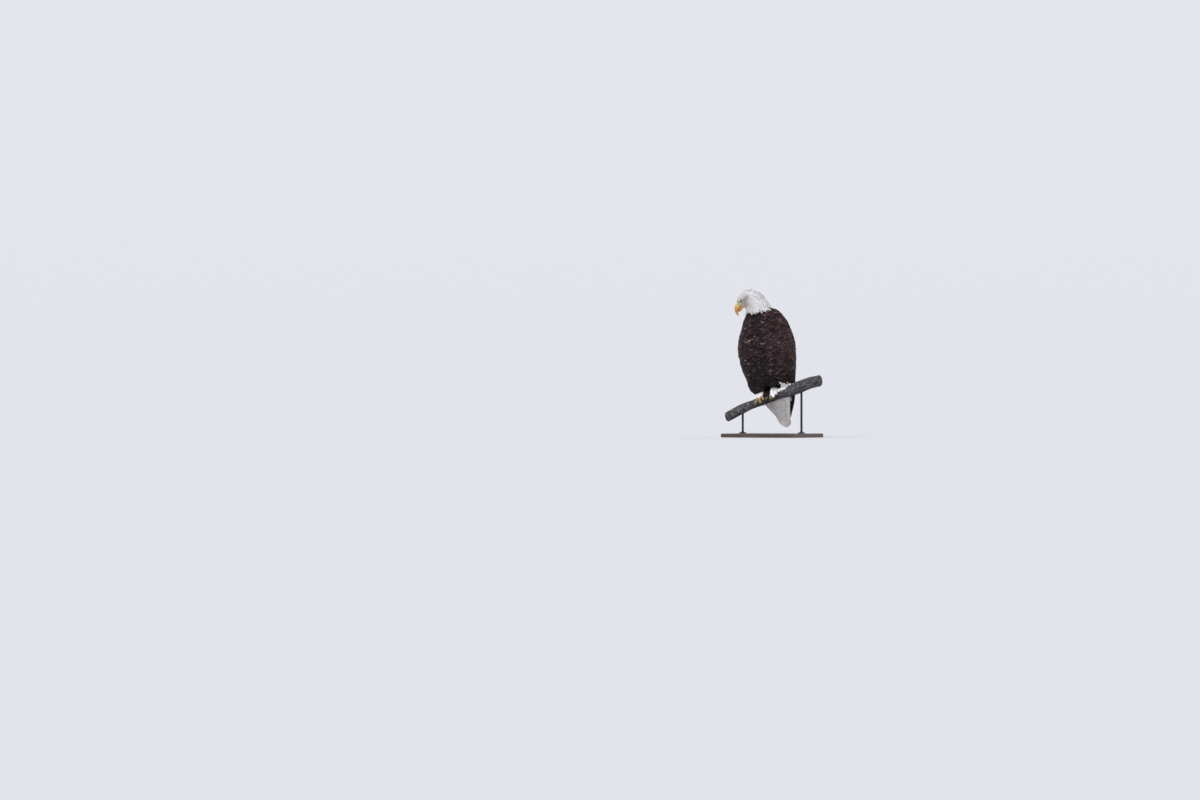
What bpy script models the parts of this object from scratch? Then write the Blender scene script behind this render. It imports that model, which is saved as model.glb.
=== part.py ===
"""A life-size bald eagle, perched upright on a short cut length of branch, on a plain display stand.

Blender 4.5, metres, +Z up. The breast faces -Y and the eagle's left side is +X. The head is turned to
the eagle's right and looks down. The origin is the middle of the stand's underside.

The bird is laid out from its grip on the branch: heights are above the branch's centre line, and
"back" is the distance behind it. One envelope, an ellipse at each height, holds the outline of the body
with its folded wings, and the trunk, wings and tail are all worked out from it.
"""

from math import cos, pi, radians, sin, sqrt

import bmesh
import bpy
from mathutils import Matrix, Vector

GAP = 0.0003  # between pieces that touch
WING_GAP = 0.0026  # between a wing's faceted inner side and the trunk

# Stand
BASE_LENGTH, BASE_DEPTH, BASE_HEIGHT = 0.46, 0.34, 0.022
ROD_RADIUS, FLANGE_RADIUS, FLANGE_HEIGHT = 0.006, 0.020, 0.006
ROD_X = {"right": -0.165, "left": 0.200}

# Branch: its centre line rises towards the eagle's left, and flattens out there
GRIP = Vector((0.0, -0.035, 0.216))  # middle of the grip, on the branch's centre line
BRANCH_LINE = (  # x, height, radius
    (-0.262, -0.103, 0.0270),
    (-0.162, -0.056, 0.0255),
    (-0.080, -0.027, 0.0255),
    (0.000, 0.000, 0.0265),
    (0.090, 0.030, 0.0285),
    (0.175, 0.056, 0.0330),
    (0.245, 0.080, 0.0320),
    (0.312, 0.094, 0.0310),
)
BRANCH_SIDES, BRANCH_RINGS = 12, 14

# Envelope of the body with its wings folded
ENVELOPE = (  # height, x, back, half width, depth behind, depth in front
    (-0.110, 0.000, 0.178, 0.043, 0.018, 0.018),
    (-0.098, 0.000, 0.171, 0.049, 0.022, 0.022),
    (-0.076, 0.000, 0.155, 0.060, 0.031, 0.031),
    (-0.043, 0.000, 0.128, 0.080, 0.046, 0.046),
    (-0.010, -0.001, 0.099, 0.101, 0.065, 0.060),
    (0.023, -0.004, 0.069, 0.123, 0.083, 0.047),
    (0.040, -0.007, 0.057, 0.133, 0.091, 0.041),
    (0.056, -0.005, 0.044, 0.139, 0.098, 0.046),
    (0.075, -0.003, 0.036, 0.141, 0.104, 0.074),
    (0.100, 0.000, 0.025, 0.143, 0.112, 0.108),
    (0.155, -0.002, 0.008, 0.155, 0.128, 0.128),
    (0.210, -0.002, -0.009, 0.162, 0.141, 0.141),
    (0.265, -0.002, -0.021, 0.164, 0.147, 0.147),
    (0.320, -0.001, -0.028, 0.157, 0.138, 0.138),
    (0.375, 0.000, -0.033, 0.141, 0.120, 0.120),
    (0.430, -0.004, -0.040, 0.121, 0.097, 0.097),
    (0.474, -0.010, -0.050, 0.095, 0.077, 0.077),
    (0.500, -0.014, -0.056, 0.062, 0.053, 0.053),
    (0.512, -0.016, -0.058, 0.030, 0.026, 0.026),
)
BELLY_SLOPE = 0.34  # the underside of the belly rises towards the eagle's left, along the branch
RING_STEP = 0.028
TRUNK_BOTTOM, TRUNK_TOP, TRUNK_SIDES = -0.070, 0.511, 36
VENT_CUT = Vector((0.0, 0.0, 0.050))  # the white vent starts here
VENT_TILT = radians(16)  # and its edge rises towards the eagle's left, as the branch does

# Folded wing, on the envelope: height, front edge, back edge (degrees from the side), thickness
WING = (
    (-0.104, 2, 16, 0.0026),
    (-0.098, -3, 26, 0.0030),
    (-0.076, -6, 40, 0.0040),
    (-0.043, -6, 52, 0.0050),
    (-0.010, -8, 64, 0.0065),
    (0.023, -10, 76, 0.0080),
    (0.056, -6, 81, 0.0095),
    (0.080, 0, 82, 0.0105),
    (0.120, -12, 81, 0.0120),
    (0.160, -24, 79, 0.0135),
    (0.210, -31, 76, 0.0150),
    (0.265, -35, 74, 0.0160),
    (0.350, -38, 66, 0.0165),
    (0.420, -37, 54, 0.0150),
    (0.452, -28, 45, 0.0100),
    (0.462, -16, 30, 0.0040),
)
WING_STRIPS = 8  # facets across the wing
WING_EDGE = 0.0022  # how thick its edges are
COVERTS_END = (Vector((0, -0.10, 0.212)), Vector((0, -0.22, 1.0)))  # point and normal of the cut
SECONDARIES_END = (Vector((0, 0.030, 0.085)), Vector((0, 0.62, 1.0)))

# Tail: height, half width, thickness
TAIL = (
    (-0.0703, 0.0470, 0.0110),
    (-0.098, 0.0435, 0.0090),
    (-0.120, 0.0390, 0.0070),
    (-0.142, 0.0330, 0.0050),
    (-0.155, 0.0250, 0.0035),
    (-0.161, 0.0130, 0.0025),
)
TAIL_TIP_BACK = 0.207
TAIL_SIDES = 16

# Head, in its own frame: forward along the bill, up through the crown, origin in the middle of the skull
HEAD_AT = Vector((-0.0865, -0.1300, 0.534))  # x, back, height
HEAD_YAW, HEAD_PITCH = radians(50), radians(50)  # turned to the right, then down
SKULL = (  # forward, half width, crown, chin
    (-0.0770, 0.0100, 0.0060, -0.0100),
    (-0.0730, 0.0230, 0.0150, -0.0200),
    (-0.0640, 0.0330, 0.0250, -0.0290),
    (-0.0520, 0.0385, 0.0335, -0.0350),
    (-0.0390, 0.0415, 0.0390, -0.0385),
    (-0.0230, 0.0425, 0.0405, -0.0400),
    (-0.0080, 0.0395, 0.0388, -0.0385),
    (0.0070, 0.0340, 0.0362, -0.0350),
    (0.0190, 0.0275, 0.0328, -0.0305),
    (0.0290, 0.0218, 0.0284, -0.0270),
    (0.0360, 0.0175, 0.0222, -0.0245),
)
SKULL_SIDES = 20
EYE_RADIUS, EYE_SIDE = 0.0115, 0.0175  # the eye's centre is this far out to each side
EYE_AT = (0.0115, 0.0120)  # forward, up
EYE_HOLLOW, EYE_HOLLOW_REACH = 0.0040, 0.016
BROW_RISE, BROW_REACH = 0.0042, 0.012
BROW_AT = (0.012, 0.0235)  # forward, up

# Bill: the culmen over the tomial edge, from the feathers to the hook's tip
BILL_UPPER = (  # culmen forward and up, tomial edge forward and up, half width
    (0.0363, 0.0180, 0.0363, -0.0090, 0.0150),
    (0.0430, 0.0190, 0.0430, -0.0095, 0.0145),
    (0.0500, 0.0186, 0.0490, -0.0100, 0.0138),
    (0.0580, 0.0164, 0.0555, -0.0105, 0.0126),
    (0.0670, 0.0116, 0.0620, -0.0112, 0.0110),
    (0.0755, 0.0035, 0.0675, -0.0128, 0.0090),
    (0.0820, -0.0085, 0.0706, -0.0168, 0.0066),
    (0.0852, -0.0200, 0.0748, -0.0240, 0.0041),
    (0.0856, -0.0275, 0.0808, -0.0290, 0.0019),
    (0.0850, -0.0312, 0.0842, -0.0311, 0.0006),
)
CERE_END = 0.27  # share of the stations that the cere covers
BILL_LOWER = (  # upper edge forward and up, lower edge forward and up, half width
    (0.0363, -0.0094, 0.0363, -0.0245, 0.0140),
    (0.0430, -0.0099, 0.0430, -0.0250, 0.0132),
    (0.0550, -0.0109, 0.0535, -0.0243, 0.0112),
    (0.0620, -0.0117, 0.0606, -0.0222, 0.0090),
    (0.0672, -0.0134, 0.0665, -0.0182, 0.0054),
)
BILL_SIDES = 12

# Neck: x, back, height, half width, half depth, lean of the ring (degrees towards the head's side)
NECK = (
    (-0.008, -0.058, 0.452, 0.070, 0.062, 4),
    (-0.020, -0.072, 0.480, 0.070, 0.066, 10),
    (-0.031, -0.084, 0.508, 0.066, 0.065, 18),
    (-0.042, -0.093, 0.535, 0.057, 0.058, 27),
    (-0.052, -0.101, 0.557, 0.046, 0.047, 36),
    (-0.058, -0.105, 0.569, 0.031, 0.031, 42),
    (-0.060, -0.107, 0.574, 0.016, 0.016, 44),
)
NECK_SIDES = 20

# Legs
FOOT_X = {"left": 0.026, "right": -0.038}
THIGH = (  # height above the branch, x outwards, back, half width, half depth
    (0.092, 0.008, -0.022, 0.026, 0.030),
    (0.078, 0.007, -0.026, 0.038, 0.042),
    (0.060, 0.005, -0.022, 0.038, 0.040),
    (0.042, 0.003, -0.014, 0.033, 0.032),
    (0.029, 0.001, -0.006, 0.025, 0.024),
    (0.022, 0.000, 0.000, 0.0155, 0.0150),
)
THIGH_SIDES = 14
TARSUS_RADIUS = 0.0088
TOE_RADIUS = (0.0085, 0.0082, 0.0076, 0.0066)  # from the pad to the talon
TOES = {  # angle over the branch where the toe ends (front is positive), sideways spread at its end
    "inner": (98, -0.023),
    "middle": (116, 0.001),
    "outer": (100, 0.024),
    "hind": (-74, 0.000),
}
TALON_RADIUS, TALON_TURN = 0.0050, 62  # base radius, and how far it goes on round the branch
TOE_SIDES, TALON_SIDES = 8, 6


# ---- helpers ------------------------------------------------------------------------------------

def clear_scene():
    for old in list(bpy.data.objects):
        bpy.data.objects.remove(old, do_unlink=True)


def new_collection(name, hidden=False):
    made = bpy.data.collections.new(name)
    bpy.context.scene.collection.children.link(made)
    made.hide_render = hidden
    return made


def material(name, colour, roughness, metallic=0.0):
    made = bpy.data.materials.new(name)
    made.use_nodes = True
    shader = made.node_tree.nodes["Principled BSDF"]
    shader.inputs["Base Color"].default_value = (*colour, 1.0)
    shader.inputs["Roughness"].default_value = roughness
    shader.inputs["Metallic"].default_value = metallic
    made.diffuse_color = (*colour, 1.0)
    return made


def smooth_at(table, at):
    """The rows of table, whose first number rises, read at a value between them on a smooth curve."""
    at = min(max(at, table[0][0]), table[-1][0])
    i = max(k for k in range(len(table) - 1) if table[k][0] <= at)
    before, low, high, after = (table[max(0, min(len(table) - 1, k))] for k in (i - 1, i, i + 1, i + 2))
    span = high[0] - low[0]
    t = (at - low[0]) / span
    found = []
    for k in range(1, len(low)):
        slope_low = (high[k] - before[k]) / (high[0] - before[0]) * span
        slope_high = (after[k] - low[k]) / (after[0] - low[0]) * span
        found.append(
            (2 * t**3 - 3 * t**2 + 1) * low[k]
            + (t**3 - 2 * t**2 + t) * slope_low
            + (-2 * t**3 + 3 * t**2) * high[k]
            + (t**3 - t**2) * slope_high
        )
    return found


def numbered(rows):
    """The rows with their own number put first, so that smooth_at can read between them."""
    return tuple((k, *row) for k, row in enumerate(rows))


def place(x, back, height):
    """A point of the bird in the part's frame."""
    return GRIP + Vector((x, back, height))


def loft(name, rings, finish, folder):
    """A closed body through rings of as many points each, capped flat at both ends."""
    mesh = bmesh.new()
    rows = [[mesh.verts.new(point) for point in ring] for ring in rings]
    count = len(rows[0])
    for low, high in zip(rows, rows[1:]):
        for k in range(count):
            mesh.faces.new((low[k], low[(k + 1) % count], high[(k + 1) % count]))
            mesh.faces.new((low[k], high[(k + 1) % count], high[k]))
    for ring in (rows[0], rows[-1]):
        middle = mesh.verts.new(sum((v.co for v in ring), Vector()) / count)
        for k in range(count):
            mesh.faces.new((ring[k], ring[(k + 1) % count], middle))
    bmesh.ops.recalc_face_normals(mesh, faces=mesh.faces)
    return as_object(name, mesh, finish, folder)


def as_object(name, mesh, finish, folder):
    data = bpy.data.meshes.new(name)
    mesh.to_mesh(data)
    mesh.free()
    data.materials.append(finish)
    data.shade_smooth()
    data.set_sharp_from_angle(angle=radians(40))
    made = bpy.data.objects.new(name, data)
    folder.objects.link(made)
    return made


def ellipse(centre, side, up, sides, power=2.0):
    """A ring of points round centre. side and up are its half axes, and power over 2 squares it off."""
    ring = []
    for k in range(sides):
        turn = 2 * pi * k / sides
        across, along = cos(turn), sin(turn)
        across = abs(across) ** (2 / power) * (1 if across >= 0 else -1)
        along = abs(along) ** (2 / power) * (1 if along >= 0 else -1)
        ring.append(centre + side * across + up * along)
    return ring


def combine(obj, other, operation):
    cut = obj.modifiers.new(f"{operation.lower()} {other.name}", "BOOLEAN")
    cut.operation = operation
    cut.solver = "EXACT"
    cut.object = other


def helper(obj):
    obj.hide_render = True
    obj.display_type = "WIRE"
    return obj


def made_real(obj):
    """Applies the object's modifiers, so that its mesh can be parted further."""
    graph = bpy.context.evaluated_depsgraph_get()
    data = bpy.data.meshes.new_from_object(obj.evaluated_get(graph))
    obj.modifiers.clear()
    obj.data = data
    return obj


def parted(obj, name, point, normal, keep_above):
    """The part of obj on one side of a plane, less half the gap, as an object of its own."""
    mesh = bmesh.new()
    mesh.from_mesh(obj.data)
    side = normal.normalized()
    edge = point + side * (GAP / 2 if keep_above else -GAP / 2)
    cut = bmesh.ops.bisect_plane(
        mesh,
        geom=list(mesh.verts) + list(mesh.edges) + list(mesh.faces),
        plane_co=edge,
        plane_no=side,
        dist=1e-6,
        clear_inner=keep_above,
        clear_outer=not keep_above,
    )
    rim = [e for e in cut["geom_cut"] if isinstance(e, bmesh.types.BMEdge) and e.is_boundary]
    bmesh.ops.holes_fill(mesh, edges=rim, sides=0)
    bmesh.ops.triangulate(mesh, faces=[f for f in mesh.faces if len(f.verts) > 4])
    bmesh.ops.recalc_face_normals(mesh, faces=mesh.faces)
    return as_object(name, mesh, obj.data.materials[0], obj.users_collection[0])


# ---- stand and branch ---------------------------------------------------------------------------

def branch_at(x):
    """Centre, direction and radius of the branch where it passes x."""
    height, radius = smooth_at(BRANCH_LINE, x)
    ahead, behind = (smooth_at(BRANCH_LINE, x + step)[0] for step in (0.004, -0.004))
    return place(x, 0, height), Vector((0.008, 0, ahead - behind)).normalized(), radius


def branch_body(name, grow, finish, folder):
    """The branch, with a few low swellings, grown by a clearance where it is a cutter."""
    first, last = BRANCH_LINE[0][0], BRANCH_LINE[-1][0]
    rings = []
    for k in range(BRANCH_RINGS):
        share = k / (BRANCH_RINGS - 1)
        centre, along, radius = branch_at(first + (last - first) * share)
        up = Vector((0, 1, 0)).cross(along).normalized() * -1
        swell = 0.0012 * sin(9.0 * share + 1.0) - 0.0008 * cos(23.0 * share)
        size = radius + swell + grow
        rings.append(ellipse(centre, Vector((0, 1, 0)) * size, up * (size * 0.97), BRANCH_SIDES))
    return loft(name, rings, finish, folder)


def stand(finishes, folder, branch_cutter):
    block = bmesh.new()
    bmesh.ops.create_cube(block, size=1)
    bmesh.ops.scale(block, vec=(BASE_LENGTH, BASE_DEPTH, BASE_HEIGHT), verts=block.verts)
    bmesh.ops.translate(block, vec=(0, 0, BASE_HEIGHT / 2), verts=block.verts)
    base = as_object("stand_base", block, finishes["base"], folder)
    corners = base.modifiers.new("rounded edges", "BEVEL")
    corners.width = 0.004
    corners.segments = 2
    for side, x in ROD_X.items():
        rod = rod_body(f"stand_rod_{side}", x, finishes["rod"], folder)
        combine(rod, branch_cutter, "DIFFERENCE")


def rod_body(name, x, finish, folder):
    """A rod turned with the flange at its foot. It goes up into the branch, which cuts its top."""
    centre = branch_at(x)[0]
    foot = BASE_HEIGHT + GAP
    profile = (
        (0.0, centre.z),
        (ROD_RADIUS, centre.z),
        (ROD_RADIUS, foot + 2 * FLANGE_HEIGHT),
        (1.6 * ROD_RADIUS, foot + 1.2 * FLANGE_HEIGHT),
        (FLANGE_RADIUS, foot + 0.8 * FLANGE_HEIGHT),
        (FLANGE_RADIUS, foot),
        (0.0, foot),
    )
    mesh = bmesh.new()
    points = [mesh.verts.new((out, 0, height)) for out, height in profile]
    for one, other in zip(points, points[1:]):
        mesh.edges.new((one, other))
    rod = as_object(name, mesh, finish, folder)
    turned = rod.modifiers.new("turned", "SCREW")
    turned.steps = turned.render_steps = 16
    turned.use_merge_vertices = True
    turned.merge_threshold = 0.00005
    turned.use_smooth_shade = True
    rod.location = (x, GRIP.y, 0)
    return rod


# ---- trunk, wings and tail ----------------------------------------------------------------------

def heights(low, high):
    """The ring heights from low to high. Trunk and wings share them, so that their facets match."""
    inner = [k * RING_STEP for k in range(-5, 22) if low + 0.004 < k * RING_STEP < high - 0.004]
    return [low, *inner, high]


def on_envelope(height, turn, inset):
    """A point of the envelope, turn degrees from the eagle's left side towards its back."""
    x, back, width, depth, before = smooth_at(ENVELOPE, height)
    angle = radians(turn)
    if sin(angle) < 0:
        slope = BELLY_SLOPE * max(0.0, 1 - abs(height - 0.055) / 0.10)
        lower = height - slope * (x + width * cos(angle))
        depth = before + (smooth_at(ENVELOPE, lower)[4] - before) * -sin(angle)
    return place(x + (width - inset) * cos(angle), back + (depth - inset) * sin(angle), height)


def room_for_wing(height, turn):
    """How far the trunk draws in under a wing: all of it there, easing off beside the wing's edges."""
    if not WING[0][0] <= height <= WING[-1][0] + RING_STEP:
        return 0.0
    front, back, thickness = smooth_at(WING, height)
    turn = (turn + 90) % 360 - 90
    turn = 180 - turn if turn > 90 else turn
    outside = max(front - 8 - turn, turn - back - 8, 0.0)
    ease = max(0.0, 1.0 - outside / 9.0)
    return (thickness + WING_GAP) * ease * ease * (3 - 2 * ease)


def trunk_body(name, grow, finish, folder):
    rings = []
    for height in heights(TRUNK_BOTTOM, TRUNK_TOP + grow):
        ring = []
        for k in range(TRUNK_SIDES):
            turn = 360 * k / TRUNK_SIDES
            ring.append(on_envelope(height, turn, room_for_wing(height, turn) - grow))
        rings.append(ring)
    return loft(name, rings, finish, folder)


def wing_body(name, side, finish, folder):
    """A folded wing: a shell on the envelope, thick in the middle and thin at its edges."""
    rings = []
    for height in heights(WING[0][0], WING[-1][0]):
        front, back, thickness = smooth_at(WING, height)
        outer, inner = [], []
        for k in range(WING_STRIPS + 1):
            share = k / WING_STRIPS
            turn = front + (back - front) * share
            turn = turn if side > 0 else 180 - turn
            thin = (thickness - WING_EDGE) * abs(2 * share - 1) ** 5
            outer.append(on_envelope(height, turn, max(thin, 0.0)))
            inner.append(on_envelope(height, turn, thickness))
        rings.append(outer + inner[::-1])
    return loft(name, rings, finish, folder)


def wings(finishes, folder, helpers):
    """Each wing is modelled whole, then parted into its coverts, secondaries and primaries."""
    for word, side in (("left", 1), ("right", -1)):
        whole = wing_body(f"whole_wing_{word}", side, finishes["wing"], helpers)
        point, normal = COVERTS_END
        coverts = parted(whole, f"wing_{word}_coverts", GRIP + point, normal, True)
        quills = parted(whole, f"quills_{word}", GRIP + point, normal, False)
        point, normal = SECONDARIES_END
        secondaries = parted(quills, f"wing_{word}_secondaries", GRIP + point, normal, True)
        primaries = parted(quills, f"wing_{word}_primaries", GRIP + point, normal, False)
        for piece in (coverts, secondaries, primaries):
            helpers.objects.unlink(piece)
            folder.objects.link(piece)


def tail_back(height):
    """How far behind the grip the tail's middle is at a height."""
    start = smooth_at(ENVELOPE, TAIL[0][0])[1] - 0.002
    share = (height - TAIL[0][0]) / (TAIL[-1][0] - TAIL[0][0])
    return start + (TAIL_TIP_BACK - start) * share


def tail_body(finish, folder):
    rising = tuple(sorted(TAIL))
    rings = []
    for k in range(9):
        height = TAIL[0][0] + (TAIL[-1][0] - TAIL[0][0]) * sin(pi / 2 * k / 8)
        width, thickness = smooth_at(rising, height)
        ring = []
        for point in ellipse(
            place(0, tail_back(height), height),
            Vector((width, 0, 0)),
            Vector((0, thickness / 2, 0)),
            TAIL_SIDES,
            power=3.0,
        ):
            across = point.x / width
            ring.append(point - Vector((0, 0.006 * across * across, 0)))
        rings.append(ring)
    return loft("tail", rings, finish, folder)


# ---- head and neck ------------------------------------------------------------------------------

def head_frame():
    """Turns the head's own axes, side, forward and up, into the part's frame."""
    turned = Matrix.Rotation(-HEAD_YAW, 4, "Z") @ Matrix.Rotation(HEAD_PITCH, 4, "X")
    return Matrix.Translation(place(*HEAD_AT)) @ turned


def in_head(side, forward, up):
    """A point of the head. side is towards the eagle's left."""
    return head_frame() @ Vector((side, -forward, up))


def skull_body(name, grow, finish, folder):
    rows = numbered(SKULL)
    rings = []
    for k in range(14):
        forward, width, crown, chin = smooth_at(rows, k / 13 * (len(SKULL) - 1))
        ring = []
        for j in range(SKULL_SIDES):
            turn = 2 * pi * j / SKULL_SIDES
            across = (width + grow) * cos(turn)
            tall = (crown - chin) / 2 + grow
            up = (crown + chin) / 2 + tall * sin(turn)
            across = shaped_cheek(across, forward, up)
            ring.append(in_head(across, forward, up))
        rings.append(ring)
    return loft(name, rings, finish, folder)


def shaped_cheek(across, forward, up):
    """Draws the head in round the eye and out at the brow above it."""
    side = 1 if across >= 0 else -1
    out = abs(across)
    if out < 0.008:
        return across
    from_eye = sqrt((forward - EYE_AT[0]) ** 2 + (up - EYE_AT[1]) ** 2) / EYE_HOLLOW_REACH
    from_brow = sqrt((0.6 * (forward - BROW_AT[0])) ** 2 + (up - BROW_AT[1]) ** 2) / BROW_REACH
    hollow = EYE_HOLLOW * max(0.0, 1 - from_eye**2)
    brow = BROW_RISE * max(0.0, 1 - from_brow**2)
    return side * (out - hollow + brow)


def bill_ring(row):
    """A ring of the bill between two edges, a little flatter below."""
    top_forward, top_up, low_forward, low_up, width = row
    top = in_head(0, top_forward, top_up)
    low = in_head(0, low_forward, low_up)
    side = in_head(width, 0, 0) - in_head(0, 0, 0)
    return ellipse((top + low) / 2, side, (top - low) / 2, BILL_SIDES, power=2.3)


def bill(finishes, folder):
    rows = numbered(BILL_UPPER)
    last = len(BILL_UPPER) - 1
    cere_rings = [bill_ring(smooth_at(rows, last * CERE_END * k / 2)) for k in range(3)]
    loft("cere", cere_rings, finishes["cere"], folder)
    start = CERE_END + 0.008
    horn_rings = [bill_ring(smooth_at(rows, last * (start + (1 - start) * k / 10))) for k in range(11)]
    loft("bill_upper", horn_rings, finishes["bill"], folder)
    lower = numbered(BILL_LOWER)
    lower_rings = [bill_ring(smooth_at(lower, (len(BILL_LOWER) - 1) * k / 5)) for k in range(6)]
    loft("bill_lower", lower_rings, finishes["bill"], folder)


def eyes(finishes, folder, helpers, skull):
    for word, side in (("left", 1), ("right", -1)):
        centre = in_head(side * EYE_SIDE, *EYE_AT)
        for name, radius, where in (
            (f"eye_{word}", EYE_RADIUS, folder),
            (f"socket_{word}", EYE_RADIUS + GAP, helpers),
        ):
            ball = bmesh.new()
            bmesh.ops.create_uvsphere(ball, u_segments=12, v_segments=8, radius=radius)
            made = as_object(name, ball, finishes["eye"], where)
            made.location = centre
        combine(skull, helper(made), "DIFFERENCE")


def neck_body(finish, folder):
    rows = numbered(NECK)
    away = Vector((-sin(HEAD_YAW), -cos(HEAD_YAW), 0))
    rings = []
    for k in range(8):
        x, back, height, width, depth, lean = smooth_at(rows, k / 7 * (len(NECK) - 1))
        tip = Matrix.Rotation(radians(lean), 3, Vector((0, 0, 1)).cross(away))
        side = tip @ away.cross(Vector((0, 0, 1)))
        ahead = tip @ away
        rings.append(ellipse(place(x, back, height), side * width, ahead * depth, NECK_SIDES))
    return loft("neck", rings, finish, folder)


# ---- legs ---------------------------------------------------------------------------------------

def foot_frame(side):
    """Where a foot grips: the branch's centre there, its direction, its upward side and its radius."""
    centre, along, radius = branch_at(FOOT_X[side])
    up = (Vector((0, 0, 1)) - along * along.z).normalized()
    return centre, along, up, radius


def round_branch(side, turn, spread, out):
    """A point at a turn (degrees from the top towards the front) round the branch, out from its bark."""
    centre, along, up, radius = foot_frame(side)
    front = Vector((0, -1, 0))
    reach = radius + 0.0022 + out
    return centre + along * spread + (front * sin(radians(turn)) + up * cos(radians(turn))) * reach


def tube(name, path, radii, sides, finish, folder):
    """A round limb along a path, each ring square to it."""
    rings = []
    for k, (point, radius) in enumerate(zip(path, radii)):
        along = (path[min(k + 1, len(path) - 1)] - path[max(k - 1, 0)]).normalized()
        across = along.cross(Vector((1, 0.2, 0.1))).normalized()
        rings.append(ellipse(point, across * radius, along.cross(across) * radius, sides))
    return loft(name, rings, finish, folder)


def leg(side, finishes, folder, helpers, trunk_cutter):
    outwards = 1 if side == "left" else -1
    centre, along, up, radius = foot_frame(side)
    top = centre.z + radius - GRIP.z
    rows = tuple(sorted(THIGH))
    rings = []
    for k in range(8):
        above = THIGH[-1][0] + (THIGH[0][0] - THIGH[-1][0]) * k / 7
        out, back, width, depth = smooth_at(rows, above)
        middle = place(centre.x + outwards * out, back, top + above)
        rings.append(ellipse(middle, Vector((width, 0, 0)), Vector((0, depth, 0)), THIGH_SIDES))
    thigh = loft(f"thigh_{side}", rings, finishes["thigh"], folder)
    combine(thigh, trunk_cutter, "DIFFERENCE")

    ankle = place(centre.x, THIGH[-1][2], top + THIGH[-1][0] - 2 * GAP)
    pad = round_branch(side, 0, 0, TOE_RADIUS[0])
    foot = tube(
        f"foot_{side}",
        [ankle, ankle - Vector((0, 0, 0.004)), pad],
        [TARSUS_RADIUS * 1.1, TARSUS_RADIUS, TARSUS_RADIUS],
        10,
        finishes["foot"],
        folder,
    )
    for toe, (end, spread) in TOES.items():
        piece = toe_body(f"toe_{side}_{toe}", side, toe, 0.0, finishes["foot"], helpers)
        room = toe_body(f"toe_{side}_{toe}_clearance", side, toe, GAP, finishes["foot"], helpers)
        combine(foot, helper(piece), "UNION")
        claw = talon(side, toe, end, finishes["talon"], folder)
        combine(claw, helper(room), "DIFFERENCE")


def toe_body(name, side, toe, grow, finish, folder):
    """A toe from the pad to its end, grown by a clearance where it is a cutter."""
    shares = [-0.05, 0.15, 0.36, 0.58, 0.80, 0.92, 1.0 + 12 * grow]
    path = [toe_point(side, toe, share, toe_radius(share) + 0.0003) for share in shares]
    radii = [toe_radius(share) + grow for share in shares]
    return tube(name, path, radii, TOE_SIDES, finish, folder)


def toe_point(side, toe, share, out):
    """A point along a toe and on along its talon. Share 0 is at the pad and 1 at the toe's end."""
    end, spread = TOES[toe]
    outwards = 1 if side == "left" else -1
    start = 6 if end > 0 else -6
    sideways = outwards * spread * min(max(share, 0.0), 1.15) ** 0.8
    return round_branch(side, start + (end - start) * share, sideways, out)


def toe_radius(share):
    """A toe's radius, with the swollen joints of its pads and a rounded end."""
    place_on = max(0.0, min(1.0, share)) * (len(TOE_RADIUS) - 1)
    low = min(int(place_on), len(TOE_RADIUS) - 2)
    plain = TOE_RADIUS[low] + (TOE_RADIUS[low + 1] - TOE_RADIUS[low]) * (place_on - low)
    return plain * (1 + 0.05 * cos(6 * pi * share)) * (0.86 if share >= 1.0 else 1.0)


def talon(side, toe, end, finish, folder):
    """A curved, tapered claw that goes on from the toe's end round the branch."""
    count = 6
    start, finish_at = 0.93, 1.0 + TALON_TURN / abs(end)
    path, radii = [], []
    for k in range(count):
        gone = k / (count - 1)
        radius = TALON_RADIUS * (1 - 0.93 * gone**1.5)
        settled = (TOE_RADIUS[-1] - TALON_RADIUS) * (1 - gone) ** 2
        path.append(toe_point(side, toe, start + (finish_at - start) * gone, settled + radius + 0.0006))
        radii.append(radius)
    return tube(f"talon_{side}_{toe}", path, radii, TALON_SIDES, finish, folder)


def foot_room(side, finish, folder):
    """The space a foot's shank, and its hind toe and talon, need in the feathers behind the branch."""
    centre, _, _, radius = foot_frame(side)
    top = centre.z + radius - GRIP.z
    shank = [place(centre.x, 0, top + above) for above in (0.028, 0.000)]
    toe = [toe_point(side, "hind", share, TOE_RADIUS[0]) for share in (-0.1, 0.3, 0.7, 1.1, 1.5, 1.9)]
    return (
        tube(f"shank_room_{side}", shank, [0.0180, 0.0180], TOE_SIDES, finish, folder),
        tube(f"hind_toe_room_{side}", toe, [0.0112] * len(toe), TOE_SIDES, finish, folder),
    )


# ---- the model ----------------------------------------------------------------------------------

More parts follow.
